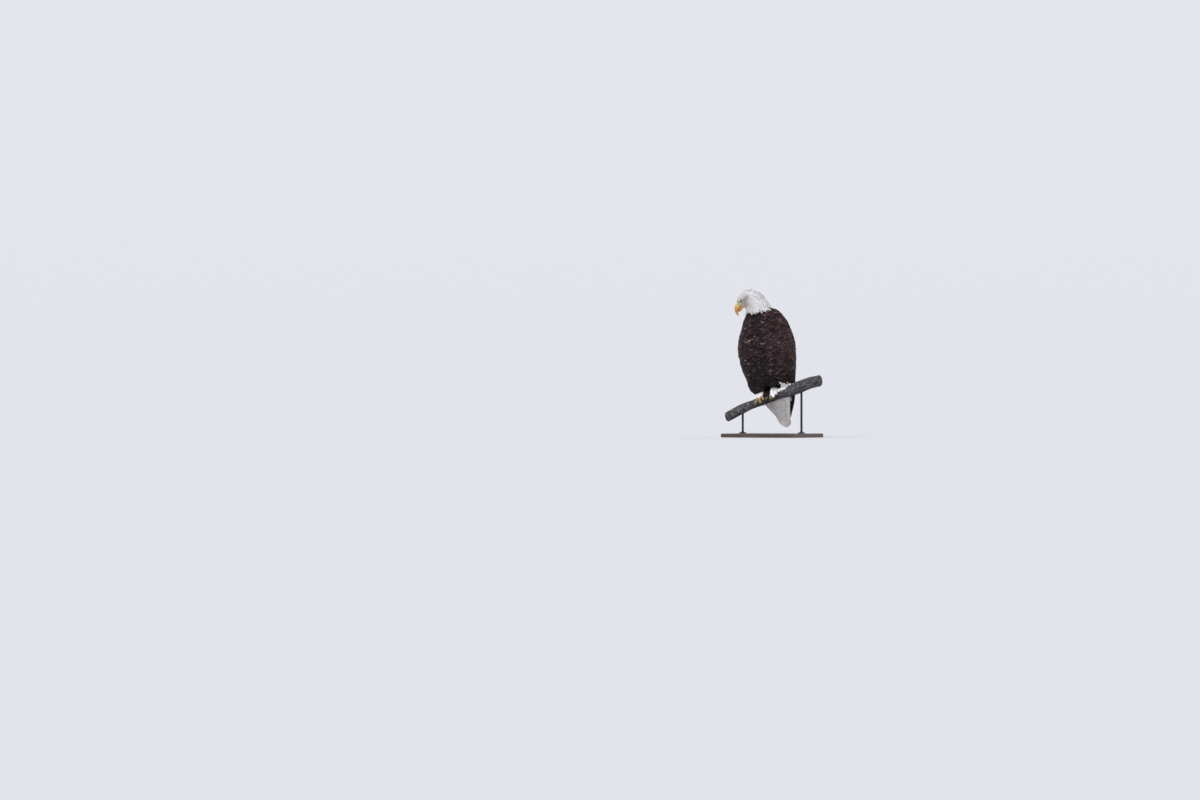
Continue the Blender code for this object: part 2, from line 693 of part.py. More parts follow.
def main():
    clear_scene()
    eagle = new_collection("bald_eagle")
    helpers = new_collection("helpers", hidden=True)
    finishes = {
        "brown": material("brown plumage", (0.045, 0.028, 0.020), 0.75),
        "wing": material("wing plumage", (0.060, 0.038, 0.027), 0.70),
        "thigh": material("thigh plumage", (0.038, 0.025, 0.019), 0.75),
        "white": material("white plumage", (0.78, 0.76, 0.71), 0.80),
        "tail": material("tail feathers", (0.72, 0.69, 0.60), 0.70),
        "bill": material("bill horn", (0.85, 0.42, 0.06), 0.35),
        "cere": material("cere", (0.82, 0.55, 0.10), 0.45),
        "eye": material("eye", (0.75, 0.62, 0.25), 0.10),
        "foot": material("scaled foot", (0.78, 0.52, 0.09), 0.50),
        "talon": material("talon horn", (0.020, 0.018, 0.016), 0.25),
        "bark": material("bark", (0.12, 0.105, 0.09), 0.90),
        "base": material("dark stained wood", (0.050, 0.030, 0.018), 0.40),
        "rod": material("black steel", (0.030, 0.030, 0.032), 0.40, 0.9),
    }

    branch_body("perch", 0.0, finishes["bark"], eagle)
    branch_cutter = helper(branch_body("perch_clearance", 0.0004, finishes["bark"], helpers))
    feather_cutter = helper(branch_body("perch_room", 0.0030, finishes["bark"], helpers))
    stand(finishes, eagle, branch_cutter)

    whole = trunk_body("whole_trunk", 0.0, finishes["brown"], helpers)
    combine(whole, feather_cutter, "DIFFERENCE")
    for side in ("left", "right"):
        for room in foot_room(side, finishes["foot"], helpers):
            combine(whole, helper(room), "DIFFERENCE")
    made_real(whole)
    across = Vector((-sin(VENT_TILT), 0, cos(VENT_TILT)))
    for name, finish, above in (("trunk", "brown", True), ("vent", "white", False)):
        piece = parted(whole, name, GRIP + VENT_CUT, across, above)
        piece.data.materials[0] = finishes[finish]
        helpers.objects.unlink(piece)
        eagle.objects.link(piece)
    helper(whole)
    trunk_cutter = helper(trunk_body("trunk_clearance", 3 * GAP, finishes["brown"], helpers))

    wings(finishes, eagle, helpers)
    tail_body(finishes["tail"], eagle)

    skull = skull_body("head", 0.0, finishes["white"], eagle)
    eyes(finishes, eagle, helpers, skull)
    bill(finishes, eagle)
    neck = neck_body(finishes["white"], eagle)
    combine(neck, trunk_cutter, "DIFFERENCE")
    combine(neck, helper(skull_body("head_clearance", GAP, finishes["white"], helpers)), "DIFFERENCE")

    for side in ("left", "right"):
        leg(side, finishes, eagle, helpers, trunk_cutter)


main()
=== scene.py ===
"""The looks of a life-size bald eagle on a short length of branch, on its display stand.

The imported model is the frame. One skin replaces the flesh nodes and lies inside them by the coat's
depth. Feathers are thin closed vanes that follow the lie of the coat over it. The bird is laid out as
in the part's source: heights above the branch's centre line at the grip, and "back" behind it.
"""

from math import cos, pi, radians, sin

import bmesh
import bpy
import numpy as np
from mathutils import Matrix, Vector, noise
from mathutils.bvhtree import BVHTree


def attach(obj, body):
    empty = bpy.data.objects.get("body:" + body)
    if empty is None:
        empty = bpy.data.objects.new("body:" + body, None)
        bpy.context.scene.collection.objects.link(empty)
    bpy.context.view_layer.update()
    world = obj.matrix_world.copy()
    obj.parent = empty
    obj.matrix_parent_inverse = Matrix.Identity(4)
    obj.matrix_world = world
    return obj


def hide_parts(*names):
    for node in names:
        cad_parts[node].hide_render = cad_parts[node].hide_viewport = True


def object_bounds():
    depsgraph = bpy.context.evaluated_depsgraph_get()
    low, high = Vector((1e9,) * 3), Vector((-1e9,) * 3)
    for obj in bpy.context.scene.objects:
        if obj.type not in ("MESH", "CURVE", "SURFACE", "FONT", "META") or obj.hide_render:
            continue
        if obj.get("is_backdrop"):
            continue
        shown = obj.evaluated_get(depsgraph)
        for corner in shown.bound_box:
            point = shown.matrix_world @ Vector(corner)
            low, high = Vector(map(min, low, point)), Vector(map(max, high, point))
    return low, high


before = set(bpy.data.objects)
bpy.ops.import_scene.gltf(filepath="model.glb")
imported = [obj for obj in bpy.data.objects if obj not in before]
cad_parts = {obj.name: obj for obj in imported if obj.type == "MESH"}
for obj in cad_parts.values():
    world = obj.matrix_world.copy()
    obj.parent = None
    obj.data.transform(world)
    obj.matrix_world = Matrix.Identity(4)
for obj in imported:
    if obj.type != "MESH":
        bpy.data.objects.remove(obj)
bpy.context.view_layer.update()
BODY = "root"

# ---- the bird's driving dimensions, as in the part's source ---------------------------------------

GRIP = np.array((0.0, -0.035, 0.216))
BRANCH_LINE = (  # x, height, radius
    (-0.262, -0.103, 0.0270),
    (-0.162, -0.056, 0.0255),
    (-0.080, -0.027, 0.0255),
    (0.000, 0.000, 0.0265),
    (0.090, 0.030, 0.0285),
    (0.175, 0.056, 0.0330),
    (0.245, 0.080, 0.0320),
    (0.312, 0.094, 0.0310),
)
ENVELOPE = (  # height, x, back, half width, depth behind, depth in front
    (-0.110, 0.000, 0.178, 0.043, 0.018, 0.018),
    (-0.098, 0.000, 0.171, 0.049, 0.022, 0.022),
    (-0.076, 0.000, 0.155, 0.060, 0.031, 0.031),
    (-0.043, 0.000, 0.128, 0.080, 0.046, 0.046),
    (-0.010, -0.001, 0.099, 0.101, 0.065, 0.060),
    (0.023, -0.004, 0.069, 0.123, 0.083, 0.047),
    (0.040, -0.007, 0.057, 0.133, 0.091, 0.041),
    (0.056, -0.005, 0.044, 0.139, 0.098, 0.046),
    (0.075, -0.003, 0.036, 0.141, 0.104, 0.074),
    (0.100, 0.000, 0.025, 0.143, 0.112, 0.108),
    (0.155, -0.002, 0.008, 0.155, 0.128, 0.128),
    (0.210, -0.002, -0.009, 0.162, 0.141, 0.141),
    (0.265, -0.002, -0.021, 0.164, 0.147, 0.147),
    (0.320, -0.001, -0.028, 0.157, 0.138, 0.138),
    (0.375, 0.000, -0.033, 0.141, 0.120, 0.120),
    (0.430, -0.004, -0.040, 0.121, 0.097, 0.097),
    (0.474, -0.010, -0.050, 0.095, 0.077, 0.077),
    (0.500, -0.014, -0.056, 0.062, 0.053, 0.053),
    (0.512, -0.016, -0.058, 0.030, 0.026, 0.026),
)
BELLY_SLOPE = 0.34  # the underside of the belly rises towards the eagle's left, along the branch
BELLY_LOW, BELLY_REACH = 0.055, 0.10  # the height where it slopes, and how far above and below
VENT_CUT, VENT_TILT = 0.050, radians(16)  # height of the white vent's edge in front, and its slope
WING = (  # height, front edge, back edge (degrees from the side)
    (-0.104, 2, 16),
    (-0.098, -3, 26),
    (-0.076, -6, 40),
    (-0.043, -6, 52),
    (-0.010, -8, 64),
    (0.023, -10, 76),
    (0.056, -6, 81),
    (0.080, 0, 82),
    (0.120, -12, 81),
    (0.160, -24, 79),
    (0.210, -31, 76),
    (0.265, -35, 74),
    (0.350, -38, 66),
    (0.420, -37, 54),
    (0.452, -28, 45),
    (0.462, -16, 30),
)
TAIL_ROOT, TAIL_TIP = (-0.0703, 0.149), (-0.161, 0.207)  # height, back

HEAD_AT = (-0.0865, -0.1300, 0.534)  # x, back, height
HEAD_YAW, HEAD_PITCH = radians(50), radians(50)
SKULL = (  # forward, half width, crown, chin
    (-0.0770, 0.0100, 0.0060, -0.0100),
    (-0.0730, 0.0230, 0.0150, -0.0200),
    (-0.0640, 0.0330, 0.0250, -0.0290),
    (-0.0520, 0.0385, 0.0335, -0.0350),
    (-0.0390, 0.0415, 0.0390, -0.0385),
    (-0.0230, 0.0425, 0.0405, -0.0400),
    (-0.0080, 0.0395, 0.0388, -0.0385),
    (0.0070, 0.0340, 0.0362, -0.0350),
    (0.0190, 0.0275, 0.0328, -0.0305),
    (0.0290, 0.0218, 0.0284, -0.0270),
    (0.0360, 0.0175, 0.0222, -0.0245),
)
EYE_RADIUS, EYE_SIDE, EYE_AT = 0.0115, 0.0175, (0.0115, 0.0120)
EYE_HOLLOW, EYE_HOLLOW_REACH = 0.0040, 0.016
BROW_RISE, BROW_REACH, BROW_AT = 0.0042, 0.012, (0.012, 0.0235)
BILL_UPPER = (  # culmen forward and up, tomial edge forward and up, half width
    (0.0363, 0.0180, 0.0363, -0.0090, 0.0150),
    (0.0430, 0.0190, 0.0430, -0.0095, 0.0145),
    (0.0500, 0.0186, 0.0490, -0.0100, 0.0138),
    (0.0580, 0.0164, 0.0555, -0.0105, 0.0126),
    (0.0670, 0.0116, 0.0620, -0.0112, 0.0110),
    (0.0755, 0.0035, 0.0675, -0.0128, 0.0090),
    (0.0820, -0.0085, 0.0706, -0.0168, 0.0066),
    (0.0852, -0.0200, 0.0748, -0.0240, 0.0041),
    (0.0856, -0.0275, 0.0808, -0.0290, 0.0019),
    (0.0850, -0.0312, 0.0842, -0.0311, 0.0006),
)
BILL_LOWER = (  # upper edge forward and up, lower edge forward and up, half width
    (0.0363, -0.0094, 0.0363, -0.0245, 0.0140),
    (0.0430, -0.0099, 0.0430, -0.0250, 0.0132),
    (0.0550, -0.0109, 0.0535, -0.0243, 0.0112),
    (0.0620, -0.0117, 0.0606, -0.0222, 0.0090),
    (0.0672, -0.0134, 0.0665, -0.0182, 0.0054),
)
CERE_END = 0.27
NECK = (  # x, back, height, half width, half depth, lean of the ring
    (-0.008, -0.058, 0.452, 0.070, 0.062, 4),
    (-0.020, -0.072, 0.480, 0.070, 0.066, 10),
    (-0.031, -0.084, 0.508, 0.066, 0.065, 18),
    (-0.042, -0.093, 0.535, 0.057, 0.058, 27),
    (-0.052, -0.101, 0.557, 0.046, 0.047, 36),
    (-0.058, -0.105, 0.569, 0.031, 0.031, 42),
    (-0.060, -0.107, 0.574, 0.016, 0.016, 44),
)
OUTWARDS = {"left": 1, "right": -1}
FOOT_X = {"left": 0.026, "right": -0.038}
THIGH = (  # height above the branch, x outwards, back, half width, half depth
    (0.022, 0.000, 0.000, 0.0155, 0.0150),
    (0.029, 0.001, -0.006, 0.025, 0.024),
    (0.042, 0.003, -0.014, 0.033, 0.032),
    (0.060, 0.005, -0.022, 0.038, 0.040),
    (0.078, 0.007, -0.026, 0.038, 0.042),
    (0.092, 0.008, -0.022, 0.026, 0.030),
)
TARSUS_RADIUS = 0.0088
TOE_RADIUS = (0.0085, 0.0082, 0.0076, 0.0066)
TOES = {  # angle over the branch where the toe ends, sideways spread at its end
    "inner": (98, -0.023),
    "middle": (116, 0.001),
    "outer": (100, 0.024),
    "hind": (-74, 0.000),
}
TALON_RADIUS, TALON_TURN = 0.0050, 62

COAT_DEPTH = {"body": 0.009, "neck": 0.007, "thigh": 0.005, "head": 0.0035}
BILL_BASE = (0.0, 0.045, -0.004)  # side, forward and up: what the head's feathers lie away from
FRONT, BACK = np.array((0, -1.0, 0)), np.array((0, 1.0, 0))
rng = np.random.default_rng(7)


# ---- reading the shapes ---------------------------------------------------------------------------

def read(table, at):
    """The rows of a table, whose first number rises, at values between them on a smooth curve."""
    rows = np.array(table, float)
    keys, values = rows[:, 0], rows[:, 1:]
    at = np.clip(np.atleast_1d(at).astype(float), keys[0], keys[-1])
    low = np.clip(np.searchsorted(keys, at, side="right") - 1, 0, len(keys) - 2)
    before, after = np.maximum(low - 1, 0), np.minimum(low + 2, len(keys) - 1)
    span = (keys[low + 1] - keys[low])[:, None]
    t = (at - keys[low])[:, None] / span
    slope_low = (values[low + 1] - values[before]) / (keys[low + 1] - keys[before])[:, None] * span
    slope_high = (values[after] - values[low]) / (keys[after] - keys[low])[:, None] * span
    return (
        (2 * t**3 - 3 * t**2 + 1) * values[low]
        + (t**3 - 2 * t**2 + t) * slope_low
        + (3 * t**2 - 2 * t**3) * values[low + 1]
        + (t**3 - t**2) * slope_high
    )


def numbered(rows):
    """A table's rows with their number first, for tables that read by station."""
    return tuple((k, *row) for k, row in enumerate(rows))


def circle(sides):
    """Turns evenly round a circle."""
    return np.linspace(0, 2 * pi, sides, endpoint=False)


def unit(vectors):
    return vectors / np.maximum(np.linalg.norm(vectors, axis=-1, keepdims=True), 1e-9)


def ease(value, low, high):
    """0 below low, 1 above high, and a smooth step between."""
    t = np.clip((value - low) / (high - low), 0, 1)
    return t * t * (3 - 2 * t)


def envelope(height, turn, inset=0.0):
    """Points of the body's envelope, turn degrees from the eagle's left side towards its back."""
    height, turn = np.broadcast_arrays(np.asarray(height, float), np.asarray(turn, float))
    shape, height, turn = height.shape, height.ravel(), np.radians(turn.ravel())
    inset = np.broadcast_to(np.asarray(inset, float), shape).ravel()
    x, back, width, behind, before = read(ENVELOPE, height).T
    slope = BELLY_SLOPE * np.maximum(0.0, 1 - np.abs(height - BELLY_LOW) / BELLY_REACH)
    lower = height - slope * (x + width * np.cos(turn))
    front = before + (read(ENVELOPE, lower)[:, 4] - before) * -np.sin(turn)
    depth = np.where(np.sin(turn) < 0, front, behind)
    across, behind = (width - inset) * np.cos(turn), (depth - inset) * np.sin(turn)
    points = np.stack((x + across, back + behind, height), axis=1)
    return (points + GRIP).reshape(*shape, 3)


def turn_of(points):
    """Height, and degrees from the eagle's left side towards its back (-90 is the breast)."""
    local = points - GRIP
    x, back, width, behind, before = read(ENVELOPE, local[:, 2]).T
    deep = np.where(local[:, 1] < back, before, behind)
    return local[:, 2], np.degrees(np.arctan2((local[:, 1] - back) / deep, (local[:, 0] - x) / width))


HEAD = np.array(
    Matrix.Translation(Vector(GRIP) + Vector(HEAD_AT))
    @ Matrix.Rotation(-HEAD_YAW, 4, "Z")
    @ Matrix.Rotation(HEAD_PITCH, 4, "X")
)


def in_head(side, forward, up):
    """Points of the head. side is towards the eagle's left."""
    side, forward, up = np.broadcast_arrays(side, forward, up)
    local = np.stack((side, -np.asarray(forward), up), axis=-1).astype(float)
    return local @ HEAD[:3, :3].T + HEAD[:3, 3]


def to_head(points):
    """Side, forward and up of points in the head's own frame."""
    local = (points - HEAD[:3, 3]) @ HEAD[:3, :3]
    return local[..., 0], -local[..., 1], local[..., 2]


def eye_centre(side):
    return in_head(side * EYE_SIDE, *EYE_AT)


def off_eyes(points):
    """How far points are from the middle of the nearer eye."""
    return np.min([np.linalg.norm(points - eye_centre(side), axis=-1) for side in OUTWARDS.values()], axis=0)


def off_bill(points):
    return np.linalg.norm(points - in_head(*BILL_BASE), axis=1)


def branch_at(x, step=0.004):
    """Centre, direction and radius of the branch where it passes x."""
    x = np.atleast_1d(x)
    height, radius = read(BRANCH_LINE, x).T
    rise = read(BRANCH_LINE, x + step)[:, 0] - read(BRANCH_LINE, x - step)[:, 0]
    flat = np.zeros_like(height)
    centre = np.stack((x, flat, height), axis=1) + GRIP
    along = unit(np.stack((flat + 2 * step, flat, rise), axis=1))
    return centre, along, radius


def clear_of_branch(points, clearance):
    """Moves points that are in the branch out of it, square to its centre line."""
    flat = points.reshape(-1, 3).copy()
    centre, along, radius = branch_at(flat[:, 0])
    away = flat - centre
    away -= along * np.sum(away * along, axis=1, keepdims=True)
    distance = np.linalg.norm(away, axis=1)
    room = radius + np.broadcast_to(clearance, points.shape[:-1]).ravel()
    inside = (distance < room) & (flat[:, 0] > BRANCH_LINE[0][0]) & (flat[:, 0] < BRANCH_LINE[-1][0])
    out = unit(away) * (room - distance)[:, None]
    flat[inside] += out[inside]
    return flat.reshape(points.shape)


# ---- making meshes --------------------------------------------------------------------------------

def tube_faces(rings, sides, start=0, closed=True):
    """Faces of a lofted body through rings of as many points each, with a cap at both ends."""
    faces = []
    for ring in range(rings - 1):
        low, high = start + ring * sides, start + (ring + 1) * sides
        for k in range(sides):
            n = (k + 1) % sides
            faces.append((low + k, low + n, high + n, high + k))
    if closed:
        faces.append(tuple(start + k for k in reversed(range(sides))))
        faces.append(tuple(start + (rings - 1) * sides + k for k in range(sides)))
    return faces


def placed(name, data):
    """A new object in the scene."""
    made = bpy.data.objects.new(name, data)
    bpy.context.scene.collection.objects.link(made)
    return made


def mesh_object(name, points, faces, angle=None):
    """An object from points and faces. Edges sharper than angle stay sharp."""
    data = bpy.data.meshes.new(name)
    data.from_pydata([tuple(p) for p in points], [], faces)
    mesh = bmesh.new()
    mesh.from_mesh(data)
    bmesh.ops.recalc_face_normals(mesh, faces=mesh.faces)
    mesh.to_mesh(data)
    mesh.free()
    data.shade_smooth()
    if angle:
        data.set_sharp_from_angle(angle=radians(angle))
    return placed(name, data)


def loft(name, rings, angle=None):
    """An object whose skin runs through rings of as many points each."""
    return mesh_object(name, rings.reshape(-1, 3), tube_faces(*rings.shape[:2]), angle)


def joined(name, objects):
    """One object from the meshes of several, which are removed."""
    mesh = bmesh.new()
    for obj in objects:
        mesh.from_mesh(obj.data)
        bpy.data.objects.remove(obj, do_unlink=True)
    data = bpy.data.meshes.new(name)
    mesh.to_mesh(data)
    mesh.free()
    data.shade_smooth()
    return placed(name, data)


def smoothed(obj, rounds):
    """The mesh of obj with its modifiers applied and rounds of smoothing."""
    soft = obj.modifiers.new("soft", "SMOOTH")
    soft.factor, soft.iterations = 0.5, rounds
    data = bpy.data.meshes.new_from_object(obj.evaluated_get(bpy.context.evaluated_depsgraph_get()))
    obj.modifiers.clear()
    return data


def fused(obj, voxel, rounds):
    """Remeshes obj into one closed skin and smooths it."""
    remesh = obj.modifiers.new("one skin", "REMESH")
    remesh.mode = "VOXEL"
    remesh.voxel_size = voxel
    obj.data = smoothed(obj, rounds)
    obj.data.shade_smooth()
    return obj


def fetch(items, key, width, kind=np.float32):
    """A property of a mesh's items, as rows of width numbers."""
    values = np.empty(len(items) * width, kind)
    items.foreach_get(key, values)
    return values.reshape(-1, width)


def store(items, key, values, kind=np.float32):
    items.foreach_set(key, np.asarray(values).astype(kind).ravel())


def coordinates(data):
    return fetch(data.vertices, "co", 3).astype(float)


def colour_attribute(data, colours):
    """Gives each point of a mesh its tint: one colour for all, or a colour each."""
    count = len(data.vertices)
    layer = data.attributes.new("tint", "FLOAT_COLOR", "POINT")
    full = np.concatenate((np.broadcast_to(colours, (count, 3)), np.ones((count, 1))), axis=1)
    store(layer.data, "color", full)


def finished(obj, material, slot, *nodes):
    """Gives a piece its material and body, and hides the CAD nodes it stands for. slot is not used."""
    obj.data.materials.clear()
    obj.data.materials.append(material)
    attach(obj, BODY)
    if nodes:
        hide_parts(*nodes)
    return obj


# ---- flesh: the coat's outer surface and the skin under it ----------------------------------------

MIDDLE_STRIP = 0.008  # half the width of the crown and chin that the hollow and the brow leave alone


def shaped_cheek(across, forward, up, depth=EYE_HOLLOW):
    """Draws the head in round the eye by a depth, and out at the brow above it."""
    from_eye = np.hypot(forward - EYE_AT[0], up - EYE_AT[1]) / EYE_HOLLOW_REACH
    from_brow = np.hypot(0.6 * (forward - BROW_AT[0]), up - BROW_AT[1]) / BROW_REACH
    hollow = depth * np.maximum(0.0, 1 - from_eye**2)
    brow = BROW_RISE * np.maximum(0.0, 1 - from_brow**2)
    return np.where(np.abs(across) < MIDDLE_STRIP, across, across - np.sign(across) * (hollow - brow))


def skull_rings(inset, count=44, sides=64):
    """Rings of the head from the nape to the bill's root."""
    at = np.linspace(0, len(SKULL) - 1, count)
    forward, width, crown, chin = read(numbered(SKULL), at).T[:, :, None]
    turn = circle(sides)[None, :]
    across = (width - inset) * np.cos(turn)
    up = (crown + chin) / 2 + ((crown - chin) / 2 - inset) * np.sin(turn)
    forward = np.broadcast_to(forward, up.shape)
    depth = EYE_HOLLOW if inset else EYE_HOLLOW * 0.6  # feathers fill part of the hollow
    return in_head(shaped_cheek(across, forward, up, depth), forward, up)


def neck_rings(inset, count=30, sides=64):
    away = np.array((-sin(HEAD_YAW), -cos(HEAD_YAW), 0))
    turn = circle(sides)[:, None]
    rings = []
    for x, back, height, width, depth, lean in read(numbered(NECK), np.linspace(0, len(NECK) - 1, count)):
        tip = np.array(Matrix.Rotation(radians(lean), 3, Vector((0, 0, 1)).cross(Vector(away))))
        side = tip @ np.cross(away, (0, 0, 1))
        ahead = tip @ away
        middle = np.array((x, back, height)) + GRIP
        rings.append(middle + np.cos(turn) * side * (width - inset) + np.sin(turn) * ahead * (depth - inset))
    return np.array(rings)


def thigh_rings(side, inset, count=16, sides=40):
    centre, _, radius = branch_at(FOOT_X[side])
    above = np.linspace(THIGH[0][0], THIGH[-1][0], count)
    out, back, width, depth = read(THIGH, above).T[:, :, None]
    turn = circle(sides)[None, :]
    x = centre[0, 0] + OUTWARDS[side] * out + (width - inset) * np.cos(turn)
    y = GRIP[1] + back + (depth - inset) * np.sin(turn)
    height = centre[0, 2] + radius[0] + above[:, None] + 0 * turn
    return np.stack((x, y, height), axis=-1)


BODY_TOP = 0.512
FOLD = (-0.005, 0.012)  # behind the head's middle: where the fold of the nape starts and is full
FOLD_ABOVE = (0.440, 0.480)  # the heights over which it starts on the neck
FOLD_ROUNDS = 90
SKIN_OFF_BARK = 0.0015


def flesh(name, share, voxel, rounds, bottom):
    """Body with folded wings, neck, head and thighs as one closed form, drawn in by a share of the coat."""
    inset = {part: depth * share for part, depth in COAT_DEPTH.items()}
    height = np.linspace(bottom, BODY_TOP - inset["body"], 120)[:, None]
    turn = np.linspace(0, 360, 96, endpoint=False)[None, :]
    parts = [
        loft("body form", envelope(height, turn, inset["body"])),
        loft("neck form", neck_rings(inset["neck"])),
        loft("head form", skull_rings(inset["head"])),
    ]
    parts += [loft(f"{side} thigh form", thigh_rings(side, inset["thigh"])) for side in OUTWARDS]
    made = fused(joined(name, parts), voxel, rounds)
    points = coordinates(made.data)
    _, forward, _ = to_head(points)
    fold = ease(-forward, *FOLD) * ease(points[:, 2] - GRIP[2], *FOLD_ABOVE)
    soft = coordinates(smoothed(made, FOLD_ROUNDS))
    points = points + (soft - points) * fold[:, None]
    store(made.data.vertices, "co", clear_of_branch(points, SKIN_OFF_BARK))
    made.data.update()
    return made


class Surface:
    """A mesh that points are moved onto, with smooth normals."""

    def __init__(self, data):
        self.points = coordinates(data)
        self.normals = fetch(data.vertices, "normal", 3).astype(float)
        data.calc_loop_triangles()
        self.triangles = fetch(data.loop_triangles, "vertices", 3, np.int32)
        self.tree = BVHTree.FromPolygons(self.points.tolist(), self.triangles.tolist())

    def nearest(self, points):
        """The closest point of the surface to each point, its normal, and the triangle it is on."""
        found = np.empty((len(points), 3))
        which = np.empty(len(points), int)
        for k, point in enumerate(points):
            found[k], _, which[k], _ = self.tree.find_nearest(Vector(point))
        corners = self.points[self.triangles[which]]
        near = 1 / (np.linalg.norm(corners - found[:, None], axis=2) + 1e-5)
        normal = np.sum(self.normals[self.triangles[which]] * near[:, :, None], axis=1)
        return found, unit(normal), which

    def scattered(self, count):
        """Random points spread evenly over the surface."""
        a, b, c = (self.points[self.triangles[:, k]] for k in range(3))
        area = np.linalg.norm(np.cross(b - a, c - a), axis=1)
        which = rng.choice(len(area), size=count, p=area / area.sum())
        s, t = rng.random(count), rng.random(count)
        flip = s + t > 1
        s, t = np.where(flip, 1 - s, s)[:, None], np.where(flip, 1 - t, t)[:, None]
        return a[which] + (b - a)[which] * s + (c - a)[which] * t


def spaced(points, gap):
    """Thins points out until none are closer together than gap, which may differ from point to point."""
    gap = np.broadcast_to(gap, len(points))
    cell = gap.max()
    keys = np.floor(points / cell).astype(int)
    taken, kept = {}, []
    around = [(i, j, k) for i in (-1, 0, 1) for j in (-1, 0, 1) for k in (-1, 0, 1)]
    for n, (point, key) in enumerate(zip(points, keys.tolist())):
        limit = gap[n] ** 2
        x, y, z = point
        for i, j, k in around:
            close = taken.get((key[0] + i, key[1] + j, key[2] + k), ())
            if any((x - q[0]) ** 2 + (y - q[1]) ** 2 + (z - q[2]) ** 2 < limit for q in close):
                break
        else:
            taken.setdefault(tuple(key), []).append(point)
            kept.append(n)
    return points[kept]


# ---- the lie of the coat --------------------------------------------------------------------------

NECK_FLOW = unit(np.array((0.047, 0.046, -0.124)))


def body_flow(points):
    """Down the body along its middle line."""
    height = points[:, 2] - GRIP[2]
    step = 0.01
    above, below = (read(ENVELOPE, height + rise)[:, :2] for rise in (step, -step))
    return unit(np.concatenate((below - above, np.full((len(points), 1), -2 * step)), axis=1))


def coat_flow(points):
    """Which way the coat lies: back from the bill, down the neck, and down the body."""
    side, forward, _ = to_head(points)
    from_bill = unit(points - in_head(*BILL_BASE))
    to_neck = ease(-forward, 0.010, 0.055)[:, None]
    head = from_bill * (1 - to_neck) + NECK_FLOW * to_neck
    down = ease(points[:, 2] - GRIP[2], 0.430, 0.500)[:, None]
    neck = NECK_FLOW * down + body_flow(points) * (1 - down)
    beyond = np.maximum(np.abs(side) - 0.045, 0) + np.maximum(-forward - 0.060, 0)
    on_head = (ease(forward, -0.075, -0.030) * (1 - ease(beyond, 0.0, 0.02)))[:, None]
    on_head = on_head * ease(points[:, 2] - GRIP[2], 0.470, 0.510)[:, None]
    flow = head * on_head + neck * (1 - on_head)
    for side in OUTWARDS.values():
        from_eye = points - eye_centre(side)
        distance = np.linalg.norm(from_eye, axis=1, keepdims=True)
        away = from_eye / np.maximum(distance, 1e-6)
        near = 1 - ease(distance, EYE_RADIUS + 0.003, EYE_RADIUS + 0.013)
        towards = np.minimum(np.sum(flow * away, axis=1, keepdims=True), 0)
        flow = flow - away * towards * near * 1.1  # a little more than takes it round the eye
    return unit(flow)


def along_surface(flow, normal):
    return unit(flow - normal * np.sum(flow * normal, axis=1, keepdims=True))


def march(surface, roots, lengths, shares, yaw, stiff):
    """Lines that run over the surface from their roots, and the surface's normals under them.

    stiff is how much of the height that a line has risen off the surface it keeps at each step.
    """
    centres = np.empty((len(roots), len(shares), 3))
    normals = np.empty_like(centres)
    point, normal, _ = surface.nearest(roots)
    flow = along_surface(coat_flow(point), normal)
    flow = flow * np.cos(yaw)[:, None] + np.cross(normal, flow) * np.sin(yaw)[:, None]
    turned = np.sin(yaw)[:, None] * 0.6
    centres[:, 0], normals[:, 0] = point, normal
    for k in range(1, len(shares)):
        step = (lengths * (shares[k] - shares[k - 1]))[:, None]
        ahead = point + flow * step
        found, normal, _ = surface.nearest(ahead)
        risen = np.sum((ahead - found) * normal, axis=1, keepdims=True)
        point_now = found + (ahead - found) * np.where(risen > 0, stiff, 0.0)
        wanted = along_surface(coat_flow(point_now), normal)
        wanted = unit(wanted + np.cross(normal, wanted) * turned)
        kept = unit(point_now - point)
        flow = unit(wanted * (1 - 0.5 * stiff) + kept * (0.4 + stiff))
        normal = unit(normal - kept * np.sum(normal * kept, axis=1, keepdims=True))
        point = point_now
        centres[:, k], normals[:, k] = point, normal
    return centres, normals


# ---- vanes ----------------------------------------------------------------------------------------

# Outlines: share of the length, and share of the half width there.
ROUND_TIP = (
    (0.0, 0.22), (0.25, 0.74), (0.50, 0.97), (0.73, 1.0),
    (0.83, 0.95), (0.91, 0.77), (0.97, 0.47), (1.0, 0.14),
)
SOFT_POINT = ((0.0, 0.25), (0.25, 0.80), (0.50, 1.0), (0.70, 0.92), (0.86, 0.62), (0.95, 0.32), (1.0, 0.03))
LANCE = ((0.0, 0.40), (0.25, 0.88), (0.45, 1.0), (0.65, 0.80), (0.85, 0.42), (1.0, 0.02))
QUILL = ((0.0, 0.30), (0.15, 0.80), (0.35, 1.0), (0.70, 0.98), (0.88, 0.80), (0.96, 0.50), (1.0, 0.05))


VANE_OFF_BARK = 0.0008
BAKE_PATCH = 0.0015  # half the side of a vane's patch of the bake, as a share of the whole


def stations(count, tip=1.6):
    """Shares along a vane, closer together towards its tip."""
    return 1 - (1 - np.linspace(0, 1, count)) ** tip


def grid_faces(rows, columns):
    """Faces of a closed vane: a front and a back grid that share their border."""
    front = np.arange(rows * columns).reshape(rows, columns)
    back = front.copy()
    inner = np.arange((rows - 2) * (columns - 2)).reshape(rows - 2, columns - 2) + rows * columns
    back[1:-1, 1:-1] = inner
    a, b, c, d = front[:-1, :-1], front[:-1, 1:], front[1:, 1:], front[1:, :-1]
    e, f, g, h = back[:-1, :-1], back[:-1, 1:], back[1:, 1:], back[1:, :-1]
    quads = [np.stack((a, b, c, d), -1).reshape(-1, 4), np.stack((e, h, g, f), -1).reshape(-1, 4)]
    return np.concatenate(quads)


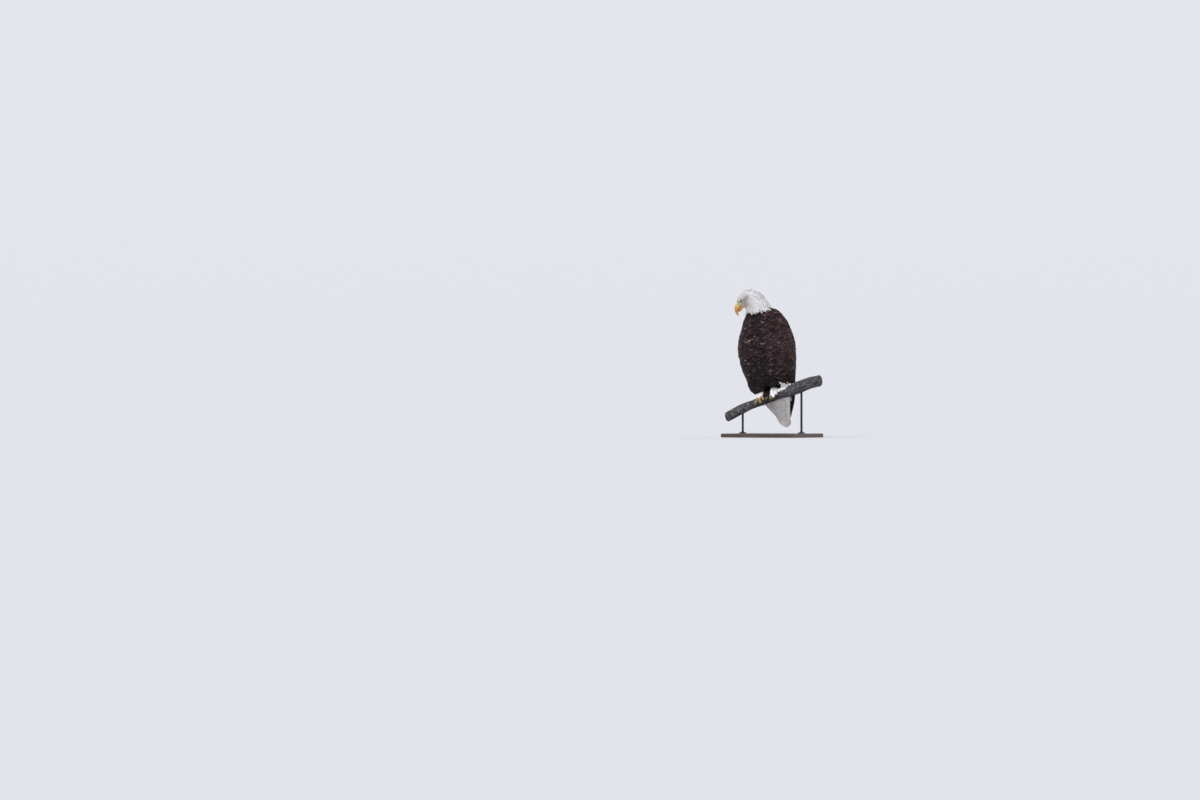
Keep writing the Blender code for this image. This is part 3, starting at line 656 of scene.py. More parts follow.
class Feathers:
    """A set of vanes of one kind, gathered and then made into joined meshes."""

    def __init__(self, rows, columns):
        self.rows, self.columns = rows, columns
        self.faces = grid_faces(rows, columns)
        self.gathered = []

    def add(
        self, centres, normals, widths, profile, look, roots=None, lift=0.0, roll=0.0, tumble=0.0,
        camber=0.16, thick=0.0006, ragged=0.08, split=0.0, narrow=1.0,
    ):
        """Vanes along centres, with a look (tint and fringe) that depends on where they end.

        lift moves them off their centres, roll and tumble turn their tips, camber arches them across,
        ragged and split make their edges and tips uneven, and narrow is one side's width over the other's.
        """
        count = len(centres)
        shares = stations(self.rows)
        tints, fringes = (colour(centres[:, -2]) for colour in look)
        uvs = skin_map.at(centres[:, 0] if roots is None else roots)
        roll = np.full(count, roll)
        if tumble:
            roll = roll + tumble * rng.normal(size=count)
        along = unit(np.gradient(centres, axis=1))
        across = unit(np.cross(along, normals))
        normals = unit(np.cross(across, along))
        roll = roll[:, None, None] * shares[None, :, None]
        across, normals = (
            across * np.cos(roll) + normals * np.sin(roll),
            normals * np.cos(roll) - across * np.sin(roll),
        )
        centres = centres + normals * np.broadcast_to(lift, centres.shape[:2])[:, :, None]
        outline = read(profile, shares)[:, 0]
        u = np.linspace(-1, 1, self.columns)
        wide = widths[:, None, None] * outline[None, :, None] * np.ones((1, 1, 2))
        wide = wide * np.array((narrow, 1.0))
        wide = wide * (1 + ragged * rng.normal(size=wide.shape) * (outline * shares)[None, :, None])
        half = np.where(u[None, None, :] < 0, wide[:, :, :1], wide[:, :, 1:])
        arch = -camber * half * u**2 + 0.35 * thick * np.exp(-((u / 0.2) ** 2))
        lag = -0.18 * half * np.abs(u) * shares[None, :, None] ** 3
        notches = split * rng.normal(size=(count, 1, self.columns))
        lag = lag + notches * widths[:, None, None] * shares[None, :, None] ** 8
        front = (
            centres[:, :, None]
            + across[:, :, None] * (half * u)[..., None]
            + normals[:, :, None] * arch[..., None]
            + along[:, :, None] * lag[..., None]
        )
        depth = thick * (1 - 0.5 * np.abs(u[1:-1])) * np.maximum(1 - shares[1:-1, None] ** 4, 0.35)
        back = front[:, 1:-1, 1:-1] - normals[:, 1:-1, None] * depth[None, :, :, None]
        points = np.concatenate((front.reshape(count, -1, 3), back.reshape(count, -1, 3)), axis=1)
        points = clear_of_branch(points, VANE_OFF_BARK)
        self.gathered.append((points, tints, fringes, uvs, rng.random(count)))

    def made(self, name, material, slot, limit=190000):
        """The gathered vanes as pieces of fewer than limit triangles each."""
        gathered = [np.concatenate(kept) for kept in zip(*self.gathered)]
        count = len(gathered[0])
        each = limit // (len(self.faces) * 2)
        parts = int(np.ceil(count / each))
        pieces = []
        for number, chosen in enumerate(np.array_split(np.arange(count), parts)):
            label = f"{name}_{number + 1}" if parts > 1 else name
            piece = self.piece(label, *(kept[chosen] for kept in gathered))
            pieces.append(finished(piece, material, slot))
        return pieces

    def piece(self, name, points, tints, fringes, uvs, seeds):
        count, each = points.shape[:2]
        faces = (self.faces[None] + (np.arange(count) * each)[:, None, None]).reshape(-1, 4)
        data = bpy.data.meshes.new(name)
        data.vertices.add(count * each)
        data.loops.add(faces.size)
        data.polygons.add(len(faces))
        store(data.vertices, "co", points)
        store(data.loops, "vertex_index", faces, np.int32)
        store(data.polygons, "loop_start", np.arange(0, faces.size, 4), np.int32)
        data.update(calc_edges=True)
        across, along = np.meshgrid(np.linspace(-1, 1, self.columns), stations(self.rows))
        across, along = (np.concatenate((grid.ravel(), grid[1:-1, 1:-1].ravel())) for grid in (across, along))
        vane = np.stack((np.tile(across, count), np.tile(along, count), np.repeat(seeds, each)), axis=1)
        for label, values, kind, key in (
            ("tint", np.repeat(tints, each, axis=0), "FLOAT_COLOR", "color"),
            ("fringe", np.repeat(fringes, each, axis=0), "FLOAT_COLOR", "color"),
            ("vane", vane, "FLOAT_VECTOR", "vector"),
        ):
            store(data.attributes.new(label, kind, "POINT").data, key, values)
        patch = uvs[:, None] + BAKE_PATCH * np.stack((across, 2 * along - 1), axis=1)[None]
        store(data.uv_layers.new(name="OFBake").data, "uv", patch.reshape(-1, 2)[faces.ravel()])
        data.shade_smooth()
        data.set_sharp_from_angle(angle=radians(35))
        data.validate()
        return placed(name, data)


# ---- materials ------------------------------------------------------------------------------------

class Nodes:
    """A short way to write a material's nodes."""

    def __init__(self, name):
        self.material = bpy.data.materials.new(name)
        self.material.use_nodes = True
        self.tree = self.material.node_tree
        self.shader = self.tree.nodes["Principled BSDF"]

    def add(self, kind, **settings):
        node = self.tree.nodes.new(kind)
        for name, value in settings.items():
            setattr(node, name, value)
        return node

    def link(self, source, target):
        self.tree.links.new(source, target)

    def put(self, socket, value):
        if isinstance(value, bpy.types.NodeSocket):
            self.link(value, socket)
        elif isinstance(value, tuple) and len(value) == 3 and socket.type == "RGBA":
            socket.default_value = (*value, 1.0)
        else:
            socket.default_value = value

    def math(self, operation, *values):
        node = self.add("ShaderNodeMath", operation=operation)
        for socket, value in zip(node.inputs, values):
            self.put(socket, value)
        return node.outputs[0]

    def times(self, one, other):
        return self.math("MULTIPLY", one, other)

    def plus(self, one, other):
        return self.math("ADD", one, other)

    def minus(self, one, other):
        return self.math("SUBTRACT", one, other)

    def ramp(self, value, low, high, to_low=0.0, to_high=1.0):
        """A smooth step from low to high."""
        node = self.add("ShaderNodeMapRange", interpolation_type="SMOOTHSTEP")
        for socket, number in zip(node.inputs, (value, low, high, to_low, to_high)):
            self.put(socket, number)
        return node.outputs["Result"]

    def mix(self, factor, one, other, blend="MIX"):
        node = self.add("ShaderNodeMix", data_type="RGBA", blend_type=blend)
        self.put(node.inputs["Factor"], factor)
        colours = [socket for socket in node.inputs if socket.type == "RGBA"]
        self.put(colours[0], one)
        self.put(colours[1], other)
        return [socket for socket in node.outputs if socket.type == "RGBA"][0]

    def noise(self, vector, scale, detail=4.0, roughness=0.55, distortion=0.0):
        node = self.add("ShaderNodeTexNoise")
        for socket, value in (
            ("Vector", vector),
            ("Scale", scale),
            ("Detail", detail),
            ("Roughness", roughness),
            ("Distortion", distortion),
        ):
            self.put(node.inputs[socket], value)
        return node.outputs["Fac"]

    def place(self, scale=(1, 1, 1)):
        """Object coordinates, stretched."""
        where = self.add("ShaderNodeTexCoord")
        mapping = self.add("ShaderNodeMapping")
        mapping.inputs["Scale"].default_value = scale
        self.link(where.outputs["Object"], mapping.inputs["Vector"])
        return mapping.outputs["Vector"]

    def shaded(self, colour, shade):
        """A colour times a shade."""
        return self.mix(1.0, colour, self.combine(shade, shade, shade), "MULTIPLY")

    def attribute(self, name):
        return self.add("ShaderNodeAttribute", attribute_name=name)

    def combine(self, x, y, z):
        node = self.add("ShaderNodeCombineXYZ")
        for socket, value in zip(node.inputs, (x, y, z)):
            self.put(socket, value)
        return node.outputs[0]

    def bump(self, height, strength, distance):
        node = self.add("ShaderNodeBump")
        node.inputs["Strength"].default_value = strength
        node.inputs["Distance"].default_value = distance
        self.link(height, node.inputs["Height"])
        self.link(node.outputs["Normal"], self.shader.inputs["Normal"])

    def finish(self, colour, roughness, **sockets):
        self.put(self.shader.inputs["Base Color"], colour)
        self.put(self.shader.inputs["Roughness"], roughness)
        for name, value in sockets.items():
            self.shader.inputs[name.replace("_", " ")].default_value = value
        return self.material


def feather_material(name, roughness, shaft, streak=0.35, barbs=70.0, base=0.7):
    """Vanes: a tinted web with fine barbs that slant from the shaft, and a fringe at edges and tip.

    streak is how strong the barbs are, and base is how bright the part is that others cover: painted shade
    that darkens each vane towards its root, where others lie over it.
    """
    n = Nodes(name)
    tint, fringe, vane = (n.attribute(word) for word in ("tint", "fringe", "vane"))
    parts = n.add("ShaderNodeSeparateXYZ")
    n.link(vane.outputs["Vector"], parts.inputs[0])
    across, along, seed = parts.outputs
    out = n.math("ABSOLUTE", across)
    barb = n.minus(n.times(along, barbs), n.times(out, barbs / 7))
    grain = n.noise(n.combine(n.times(across, 1.5), barb, n.times(seed, 60.0)), 1.6, 3.0)
    patch = n.noise(n.combine(across, n.times(along, 3.0), n.times(seed, 90.0)), 1.1, 2.0)
    reach = n.plus(along, n.times(n.minus(patch, 0.5), 0.16))
    tip = n.ramp(n.plus(reach, n.times(out, 0.05)), 0.86, 1.0)
    edge = n.times(n.ramp(out, 0.70, 1.0), n.ramp(along, 0.45, 0.80))
    border = n.times(n.math("MAXIMUM", tip, n.times(edge, 0.8)), fringe.outputs["Alpha"])
    web = n.mix(border, tint.outputs["Color"], fringe.outputs["Color"])
    dark = n.ramp(grain, 0.30, 0.70, 1.0 - streak, 1.0 + 0.35 * streak)
    # Painted shade: each vane darkens towards its covered root, down to base.
    root = n.ramp(n.minus(reach, n.times(out, 0.10)), 0.50, 0.95, base, 1.0)
    web = n.shaded(web, n.times(dark, root))
    line = n.times(n.ramp(out, 0.10, 0.03), n.ramp(along, 0.97, 0.85))
    web = n.mix(n.times(line, 0.55), web, n.mix(1.0, web, shaft, "MULTIPLY"))
    n.bump(n.plus(grain, n.times(line, 1.5)), 0.5, 0.0006)
    return n.finish(web, roughness, Specular_IOR_Level=0.12)


def skin_material():
    n = Nodes("skin under the coat")
    tint = n.attribute("tint")
    speck = n.noise(n.place(), 260.0)
    shade = n.ramp(speck, 0.3, 0.7, 0.75, 1.1)
    n.bump(speck, 0.4, 0.001)
    return n.finish(n.shaded(tint.outputs["Color"], shade), 0.85)


# ---- colours --------------------------------------------------------------------------------------

WHITE = np.array((0.86, 0.835, 0.80))
CHEEK_PAINTED_SHADE = np.array((0.46, 0.47, 0.51))  # painted shade on the cheek: how much of each colour it loses
EYE_STRIPE_AND_SHADE = np.array((0.50, 0.47, 0.53))  # a dusky stripe behind the eye, deepened by painted brow shade: how much of each colour it loses
LORE_SKIN = np.array((0.24, 0.225, 0.15))
TAIL_WHITE = np.array((0.90, 0.87, 0.81))
BREAST = np.array((0.0300, 0.0135, 0.0180))
BELLY = np.array((0.015, 0.010, 0.012))
WARM = np.array((0.056, 0.027, 0.0235))
MANTLE = np.array((0.032, 0.0175, 0.0180))
FLIGHT = np.array((0.024, 0.017, 0.017))
FRINGE = np.array((0.235, 0.175, 0.155))
COVERT_EDGE = np.array((0.16, 0.105, 0.08))


def brown_at(points):
    """The brown of the coat: warmer on the breast's sides and wings, nearly black low on the belly."""
    height, turn = turn_of(points)
    front = np.cos(np.radians(turn + 90))
    side = np.abs(np.cos(np.radians(turn)))
    colour = BREAST + (BELLY - BREAST) * ease(-height, -0.30, -0.12)[:, None] * ease(front, 0.0, 0.5)[:, None]
    colour = colour + (WARM - colour) * (ease(side, 0.45, 0.95) * ease(height, 0.05, 0.20) * 0.6)[:, None]
    back = ease(-front, 0.0, 0.6)[:, None]
    colour = colour + (MANTLE - colour) * back
    centre = (1 - ease(np.abs(turn + 85), 6, 24)) * ease(height, 0.10, 0.25) * 0.45
    patches = np.clip(1 + 0.9 * clumps(points * (1.0, 1.0, 0.55), 30.0), 0.40, 1.7)
    return colour * ((1 - centre) * patches)[:, None]


def wing_turn(turn):
    """The turn from the nearer side towards the back, the same on both wings."""
    turn = (turn + 90) % 360 - 90
    return np.where(turn > 90, 180 - turn, turn)


def in_wing_zone(points, before, behind):
    """Where the folded wing is, with some degrees before its front edge and behind its back edge."""
    height, turn = turn_of(points)
    front, back = read(WING, height).T
    return (wing_turn(turn) > front - before) & (wing_turn(turn) < back + behind)


def clumps(points, scale):
    """A slow change over the coat, about from -0.6 to 0.6."""
    return np.array([noise.noise(Vector(point)) for point in np.asarray(points) * scale])


def white_share(points):
    """How much of the coat is white: all of the head and neck, and everything below the vent's edge."""
    x, _, height = (points - GRIP).T
    collar = ease(height - collar_height(points), -0.012, 0.004)
    vent = ease(VENT_CUT + x * np.tan(VENT_TILT) - height, -0.004, 0.004)
    return np.maximum(collar, vent)


COLLAR_HEIGHT, COLLAR_AT = 0.508, (-0.014, -0.064)
NECK_LOW = 0.45  # height: all of the neck's and head's feathers are above it


def collar_height(points):
    """The height where the white neck's feathers start, higher on the eagle's left and at the back."""
    x, y, _ = (points - GRIP).T
    return COLLAR_HEIGHT + 0.30 * (x - COLLAR_AT[0]) + 0.26 * (y - COLLAR_AT[1])


def markings(points):
    """The skin's colours under the coat: as the feathers over it, and bare skin before the eye."""
    height, _ = turn_of(points)
    quills = in_wing_zone(points, 12, 0) & (height < 0.30)
    white = np.where(quills, 0.0, white_share(points))[:, None]
    colour = brown_at(points) * (1 - white) + WHITE * white
    colour[quills] = FLIGHT
    side, forward, up = to_head(points)
    to_eye = np.hypot(forward - EYE_AT[0], up - EYE_AT[1]) + 0.03 * (np.abs(side) < 0.012)
    lids = 1 - ease(to_eye, EYE_RADIUS + 0.004, EYE_RADIUS + 0.010)
    at_bill = ease(forward, 0.028, 0.033)
    at_mouth = ease(forward, 0.014, 0.024) * (1 - ease(up, -0.008, 0.000))
    lore = np.maximum(np.maximum(lids, at_bill), at_mouth) * ease(up, -0.032, -0.026)
    return colour + (LORE_SKIN - colour) * (lore * (points[:, 2] > GRIP[2] + NECK_LOW))[:, None]


def varied(colours, spread):
    """Colours, each a little lighter or darker, with an opaque alpha."""
    shade = np.clip(1 + spread * rng.normal(size=(len(colours), 1)), 0.4, 1.8)
    return np.concatenate((np.clip(colours * shade, 0, 0.9), np.ones((len(colours), 1))), axis=1)


def fringed(count, colour, low, high):
    """Fringe colours whose alpha says how strong each vane's fringe is."""
    strength = low + (high - low) * rng.random((count, 1)) ** 2.2
    shade = np.clip(1 + 0.2 * rng.normal(size=(count, 1)), 0.5, 1.5)
    return np.concatenate((np.clip(np.broadcast_to(colour, (count, 3)) * shade, 0, 0.92), strength), axis=1)


def even(colour, spread):
    """A tint that is one colour everywhere."""
    return lambda points: varied(np.broadcast_to(colour, (len(points), 3)), spread)


def edged(colour, low, high):
    """A fringe that is one colour everywhere."""
    return lambda points: fringed(len(points), colour, low, high)


# ---- building -------------------------------------------------------------------------------------

# The guide is the coat's outer form, which the feathers lie on. The skin is the flesh under the coat.
guide_object = flesh("coat guide", share=0.0, voxel=0.0035, rounds=6, bottom=-0.104)
guide = Surface(guide_object.data)
skin = flesh("skin", share=1.0, voxel=0.0040, rounds=8, bottom=-0.072)


def unwrap(obj):
    """Unwraps the skin's own shape for the bake. Feathers take their patch from where they are rooted."""
    bpy.ops.object.select_all(action="DESELECT")
    obj.select_set(True)
    bpy.context.view_layer.objects.active = obj
    bpy.ops.object.mode_set(mode="EDIT")
    bpy.ops.mesh.select_all(action="SELECT")
    bpy.ops.uv.smart_project(angle_limit=radians(66), island_margin=0.002)
    bpy.ops.object.mode_set(mode="OBJECT")
    obj.data.uv_layers[0].name = "OFBake"


class SkinMap:
    """Where a point of the skin lies on its unwrap."""

    def __init__(self, data):
        self.surface = Surface(data)
        loops = np.empty(len(data.loop_triangles) * 3, np.int32)
        data.loop_triangles.foreach_get("loops", loops)
        flat = np.empty(len(data.loops) * 2, np.float32)
        data.uv_layers[0].data.foreach_get("uv", flat)
        self.corners = flat.reshape(-1, 2)[loops.reshape(-1, 3)].astype(float)

    def at(self, points):
        """The place on the unwrap of the skin nearest to each point."""
        found, _, which = self.surface.nearest(points)
        a, b, c = (self.surface.points[self.surface.triangles[which][:, k]] for k in range(3))
        whole = np.cross(b - a, c - a)
        size = np.maximum(np.sum(whole * whole, axis=1), 1e-18)
        one = np.sum(np.cross(b - found, c - found) * whole, axis=1) / size
        two = np.sum(np.cross(c - found, a - found) * whole, axis=1) / size
        share = np.stack((one, two, 1 - one - two), axis=1)
        return np.sum(self.corners[which] * share[:, :, None], axis=1)


unwrap(skin)
skin_map = SkinMap(skin.data)
colour_attribute(skin.data, markings(coordinates(skin.data)))
finished(
    skin, skin_material(), "brown_plumage",
    "trunk", "vent", "neck", "head", "thigh_left", "thigh_right",
    "wing_left_coverts", "wing_left_secondaries", "wing_right_coverts", "wing_right_secondaries",
)


# ---- where the feathers are rooted ----------------------------------------------------------------

def thigh_nearness(points):
    """1 on the feathered legs below the belly, easing to 0 round them."""
    nearest = np.full(len(points), 9.0)
    for side, outwards in OUTWARDS.items():
        centre, _, radius = branch_at(FOOT_X[side])
        above = points[:, 2] - centre[0, 2] - radius[0]
        out, back, width, depth = read(THIGH, above).T
        across = (points[:, 0] - centre[0, 0] - outwards * out) / (width + 0.004)
        deep = (points[:, 1] - GRIP[1] - back) / (depth + 0.004)
        outside = np.maximum(np.hypot(across, deep) - 1, 0) + np.maximum(above - 0.072, 0) * 40
        nearest = np.minimum(nearest, outside + np.maximum(0.012 - above, 0) * 60)
    return 1 - ease(nearest, 0.0, 0.25)


SPOTS, HEAD_SPOTS = 90000, 640000  # places to choose roots from, closer together on the head
COAT_LOW = -0.064  # height below which the tail's coverts cover the bird
CROWN = (-0.052, 0.478, 0.046)  # behind, below and beside these is neck: forward, height, half width
BARE_ROUND_EYE = 0.0014
BARE_AT_BILL, BARE_AT_MOUTH = 0.0356, (0.029, -0.0115)  # forward; forward and up
QUILLS_TOP = 0.315  # height: the coverts' own rows cover the wing below it
SHOULDER_LOW = 0.10
FLUFF_RISE, DARK_RISE = 0.022, 0.030  # how far loose down raises the vent's edge and the breast's
LEG_FLUFF_TOP = 0.040  # its height on the farther leg

# Each mask says which of the spots belong to a tract of the coat.
spots = guide.scattered(SPOTS)
more = guide.scattered(HEAD_SPOTS)
spots = np.concatenate((spots, more[more[:, 2] > GRIP[2] + NECK_LOW]))
spots = spots[spots[:, 2] > GRIP[2] + COAT_LOW]
spot_height, spot_turn = turn_of(spots)
spot_wing = wing_turn(spot_turn)
spot_side, spot_forward, spot_up = to_head(spots)
wing_front, wing_back = read(WING, spot_height).T
above_collar = spot_height > collar_height(spots)
on_leg = thigh_nearness(spots) > 0.5
head_top = (spot_forward > CROWN[0]) & (spot_height > CROWN[1]) & (np.abs(spot_side) < CROWN[2])
at_mouth = (spot_forward > BARE_AT_MOUTH[0]) & (spot_up < BARE_AT_MOUTH[1])
bare = (off_eyes(spots) < EYE_RADIUS + BARE_ROUND_EYE) | (spot_forward > BARE_AT_BILL) | at_mouth
in_wing = (spot_wing > wing_front) & (spot_wing < wing_back) & (spot_height < WING[-1][0])
flight_area = in_wing & (spot_height < QUILLS_TOP)
flight_area = flight_area & (spot_wing > wing_front + 7) & (spot_wing < wing_back - 9)
shoulder = in_wing & ~flight_area & (spot_wing < wing_back - 12) & ~above_collar
shoulder = shoulder & (spot_height > SHOULDER_LOW)
spot_x = spots[:, 0] - GRIP[0]
vent_edge = VENT_CUT + spot_x * np.tan(VENT_TILT)
# Loose white down shows beyond the nearer leg and round the farther one, not between them.
fluffy = ease(spot_x, 0.026, 0.040) + ease(spot_x, -0.074, -0.064) * (1 - ease(spot_x, -0.018, -0.006))
white_below = spot_height < vent_edge
by_wing = (spot_wing > wing_front - 15) & (spot_wing < wing_back + 1)
vent = (spot_height < vent_edge + FLUFF_RISE * fluffy) & ~on_leg & ~by_wing & ~above_collar
back_side = np.sin(np.radians(spot_turn)) > 0.25
mantle = ~white_below & ~above_collar & ~on_leg & back_side & ~flight_area & ~shoulder
pale_leg = (fluffy > 0.5) & (spot_height < np.where(spot_x > 0, vent_edge - 0.010, LEG_FLUFF_TOP))
breast = (spot_height > vent_edge + DARK_RISE * fluffy) & ~above_collar & ~on_leg & ~back_side & ~in_wing

OFF_EYEBALL = 0.0012  # no feather comes nearer to the eye


def rooted(where, gap):
    """Roots on the chosen spots, no closer together than gap."""
    return spaced(spots[where], gap)


def lay(
    coat, roots, length, width, profile, look, sink=0.006, rise=0.0005, yaw=0.10, stiff=0.0,
    spread=0.10, tumble=0.10, loose=0.0008, off_wing=False, **shape,
):
    """Feathers of one tract, from their roots over the lie of the coat.

    sink is how deep the roots are, rise how far the tips stand off, and loose how much some stand off
    more. yaw, spread and tumble are how much turn, size and roll differ. off_wing leaves out feathers
    that end on the folded wing.
    """
    count = len(roots)
    size = np.clip(1 + spread * rng.normal(size=count), 0.6, 1.5)
    lengths, widths = length * size, width * np.clip(size + 0.06 * rng.normal(size=count), 0.6, 1.5)
    shares = stations(coat.rows)
    centres, normals = march(guide, roots, lengths, shares, yaw * rng.normal(size=count), stiff)
    seen = off_eyes(centres).min(axis=1) > EYE_RADIUS + OFF_EYEBALL
    if off_wing:
        for k in (len(shares) // 2, -2, -1):
            seen &= ~in_wing_zone(centres[:, k], 9, 1)
    centres, normals, roots, widths = (kept[seen] for kept in (centres, normals, roots, widths))
    count = len(roots)
    jitter = (0.12 * sink * rng.normal(size=count))[:, None]
    tip_lift = (loose * np.abs(rng.normal(size=count)))[:, None] * shares[None, :] ** 3
    lift = -sink + (sink + rise) * shares[None, :] ** 0.85 + jitter + tip_lift
    coat.add(centres, normals, widths, profile, look, roots, lift, tumble=tumble, **shape)


SHAFT_BROWN = (0.55, 0.50, 0.48)
# base sets how deep each material's painted shade is at the covered roots of its vanes.
brown_vane = feather_material("brown feathers", 0.70, SHAFT_BROWN, base=0.38)
white_vane = feather_material("white feathers", 0.75, (0.92, 0.90, 0.86), 0.14, base=0.70)
tail_vane = feather_material("tail feathers", 0.70, (0.80, 0.76, 0.68), 0.14, base=0.97)
down_vane = feather_material("down", 0.80, (0.94, 0.92, 0.88), 0.12, base=0.90)
covert_vane = feather_material("wing coverts", 0.70, SHAFT_BROWN, base=0.72)


def brown_tint(points):
    return varied(brown_at(points), 0.22)


def brown_fringe(points):
    height, _ = turn_of(points)
    low = (1 - ease(height, 0.06, 0.20))[:, None]
    made = fringed(len(points), FRINGE, 0.04, 1.0)
    made[:, 3:] *= (1 - 0.6 * low) * (0.35 + 0.65 * ease(clumps(points, 22.0), -0.15, 0.30))[:, None]
    return made


def white_tint(points):
    side, forward, up = to_head(points)
    on_side = ease(np.abs(side), 0.010, 0.024)
    # Painted shade on the cheek, below and before the eye.
    cheek_shade = np.exp(-(((forward - 0.010) / 0.024) ** 2 + ((up + 0.004) / 0.020) ** 2)) * on_side
    # A dusky stripe behind the eye, deepened by painted shade from the brow.
    stripe_and_shade = np.exp(-(((forward + 0.016) / 0.022) ** 2 + ((up - 0.006) / 0.0095) ** 2)) * on_side
    cream = ease(forward, -0.01, 0.02) * ease(up, 0.005, 0.02)
    colour = WHITE * (1 - cheek_shade[:, None] * CHEEK_PAINTED_SHADE) * (1 - stripe_and_shade[:, None] * EYE_STRIPE_AND_SHADE)
    colour = colour * (1 - cream[:, None] * np.array((0.15, 0.18, 0.24)))
    return varied(colour, 0.15)


BROWN = (brown_tint, brown_fringe)
WHITISH = (white_tint, edged(np.array((0.86, 0.84, 0.82)), 0.1, 0.9))

contour = Feathers(10, 9)
lay(
    contour, rooted(breast, 0.0135), 0.054, 0.0130, ROUND_TIP, BROWN,
    sink=0.0075, stiff=0.25, split=0.06, ragged=0.04,
)
lay(
    contour, rooted(mantle, 0.0170), 0.066, 0.0185, ROUND_TIP, BROWN,
    sink=0.0070, rise=0.002, split=0.04, ragged=0.04,
)
lay(
    contour, rooted(shoulder, 0.0115), 0.034, 0.0105, ROUND_TIP, BROWN,
    sink=0.0045, rise=0.001, split=0.05, ragged=0.04,
)
lay(
    contour, rooted(on_leg & ~pale_leg, 0.0070), 0.036, 0.0062, SOFT_POINT, BROWN,
    sink=0.004, stiff=0.35, split=0.25,
)
contour.made("feathers_brown", brown_vane, "brown_plumage")

pale = Feathers(10, 7)
lay(
    pale, rooted(on_leg & pale_leg, 0.0070), 0.034, 0.0062, SOFT_POINT, WHITISH,
    sink=0.004, stiff=0.35, split=0.3,
)
lay(
    pale, rooted(vent, 0.0095), 0.048, 0.0085, SOFT_POINT, WHITISH,
    sink=0.0065, rise=-0.0015, stiff=0.3, ragged=0.16, split=0.3, off_wing=True,
)
pale.made("feathers_vent", down_vane, "white_plumage")

HEAD_GROWTH = (  # distance from the bill's root, length, half width, spacing
    (0.010, 0.0055, 0.0007, 0.0010),
    (0.040, 0.0092, 0.0010, 0.0013),
    (0.062, 0.0140, 0.0013, 0.0019),
    (0.090, 0.0230, 0.0019, 0.0029),
    (0.120, 0.0370, 0.0023, 0.0034),
    (0.150, 0.0480, 0.0027, 0.0040),
)


def head_growth(points):
    """Length, half width and spacing of the feathers of the head and neck."""
    return read(HEAD_GROWTH, off_bill(points)).T


HEAD_END, FACE_END = 0.092, 0.056  # distances from the bill's root
LOOSE_NECK = {"yaw": 0.16, "spread": 0.20, "tumble": 0.30, "loose": 0.0014, "stiff": 0.30}
LOOSE_HOOD = {"yaw": 0.15, "spread": 0.16, "tumble": 0.25, "loose": 0.0009, "stiff": 0.15}
SMOOTH_FACE = {"yaw": 0.13, "spread": 0.14, "tumble": 0.15, "loose": 0.0005}
spot_off_bill = off_bill(spots)
white_head = (above_collar | head_top) & ~bare
for name, rows, columns, low, high, sink, rise, lie in (
    ("feathers_neck", 9, 5, HEAD_END, 9.0, 0.0056, 0.0008, LOOSE_NECK),
    ("feathers_hood", 7, 5, FACE_END, HEAD_END, 0.0032, 0.0005, LOOSE_HOOD),
    ("feathers_face", 5, 3, 0.0, FACE_END, 0.0022, 0.0002, SMOOTH_FACE),
):
    chosen = spots[white_head & (spot_off_bill >= low) & (spot_off_bill < high)]
    roots = spaced(chosen, head_growth(chosen)[2])
    length, width, _ = head_growth(roots)
    coat = Feathers(rows, columns)
    lay(coat, roots, length, width, LANCE, WHITISH, sink=sink, rise=rise, **lie)
    coat.made(name, white_vane, "white_plumage")

over_collar = spot_height - collar_height(spots)
throat = (over_collar > -0.006) & (over_collar < 0.022) & (spot_off_bill < 0.105) & ~bare
ruff = Feathers(9, 5)
lay(
    ruff, rooted(throat, 0.0036), 0.026, 0.0022, LANCE, WHITISH,
    sink=0.0050, rise=0.0015, yaw=0.15, spread=0.20, tumble=0.25, loose=0.0014, stiff=0.30,
)
ruff.made("feathers_throat", white_vane, "white_plumage")


# ---- wing and tail quills -------------------------------------------------------------------------

def on_wing(side, height, turn, inset):
    """Points of either folded wing, at turns from its own side towards the back."""
    return envelope(height, np.where(side > 0, turn, 180 - turn), inset)


def wing_normal(side, height, turn):
    """Outwards from the folded wing."""
    up = on_wing(side, height + 0.002, turn, 0) - on_wing(side, height - 0.002, turn, 0)
    round_it = on_wing(side, height, turn + 1, 0) - on_wing(side, height, turn - 1, 0)
    return unit(np.cross(round_it, up) * side)


def quills(coat, side, starts, ends, width, insets, look, **shape):
    """Quills laid over the folded wing from starts to ends (height, turn), insets from root to tip."""
    shares = stations(coat.rows)
    starts, ends, insets = (np.array(pairs, float)[:, :, None] for pairs in (starts, ends, insets))
    height, turn = ((starts + (ends - starts) * shares)[:, k] for k in (0, 1))
    inset = insets[:, 0] + (insets[:, 1] - insets[:, 0]) * shares
    centres = on_wing(side, height, turn, inset)
    normals = wing_normal(side, height, turn)
    widths = width * (1 + 0.03 * rng.normal(size=len(starts)))
    coat.add(centres, normals, widths, QUILL, look, **shape)


def covert_tint(points):
    height = points[:, 2:] - GRIP[2]
    patches = np.clip(1 + 0.7 * clumps(points, 40.0), 0.5, 1.6)[:, None]
    return varied((MANTLE + (WARM - MANTLE) * 0.30 * ease(-height, -0.36, -0.18)) * patches, 0.26)


def between(low, high, count, jitter=0.0):
    """Numbers spread evenly from low to high, each off by some jitter."""
    return low + (high - low) * np.linspace(0, 1, count) + jitter * rng.normal(size=count)


def rows_of(*columns):
    return np.stack(columns, axis=1)


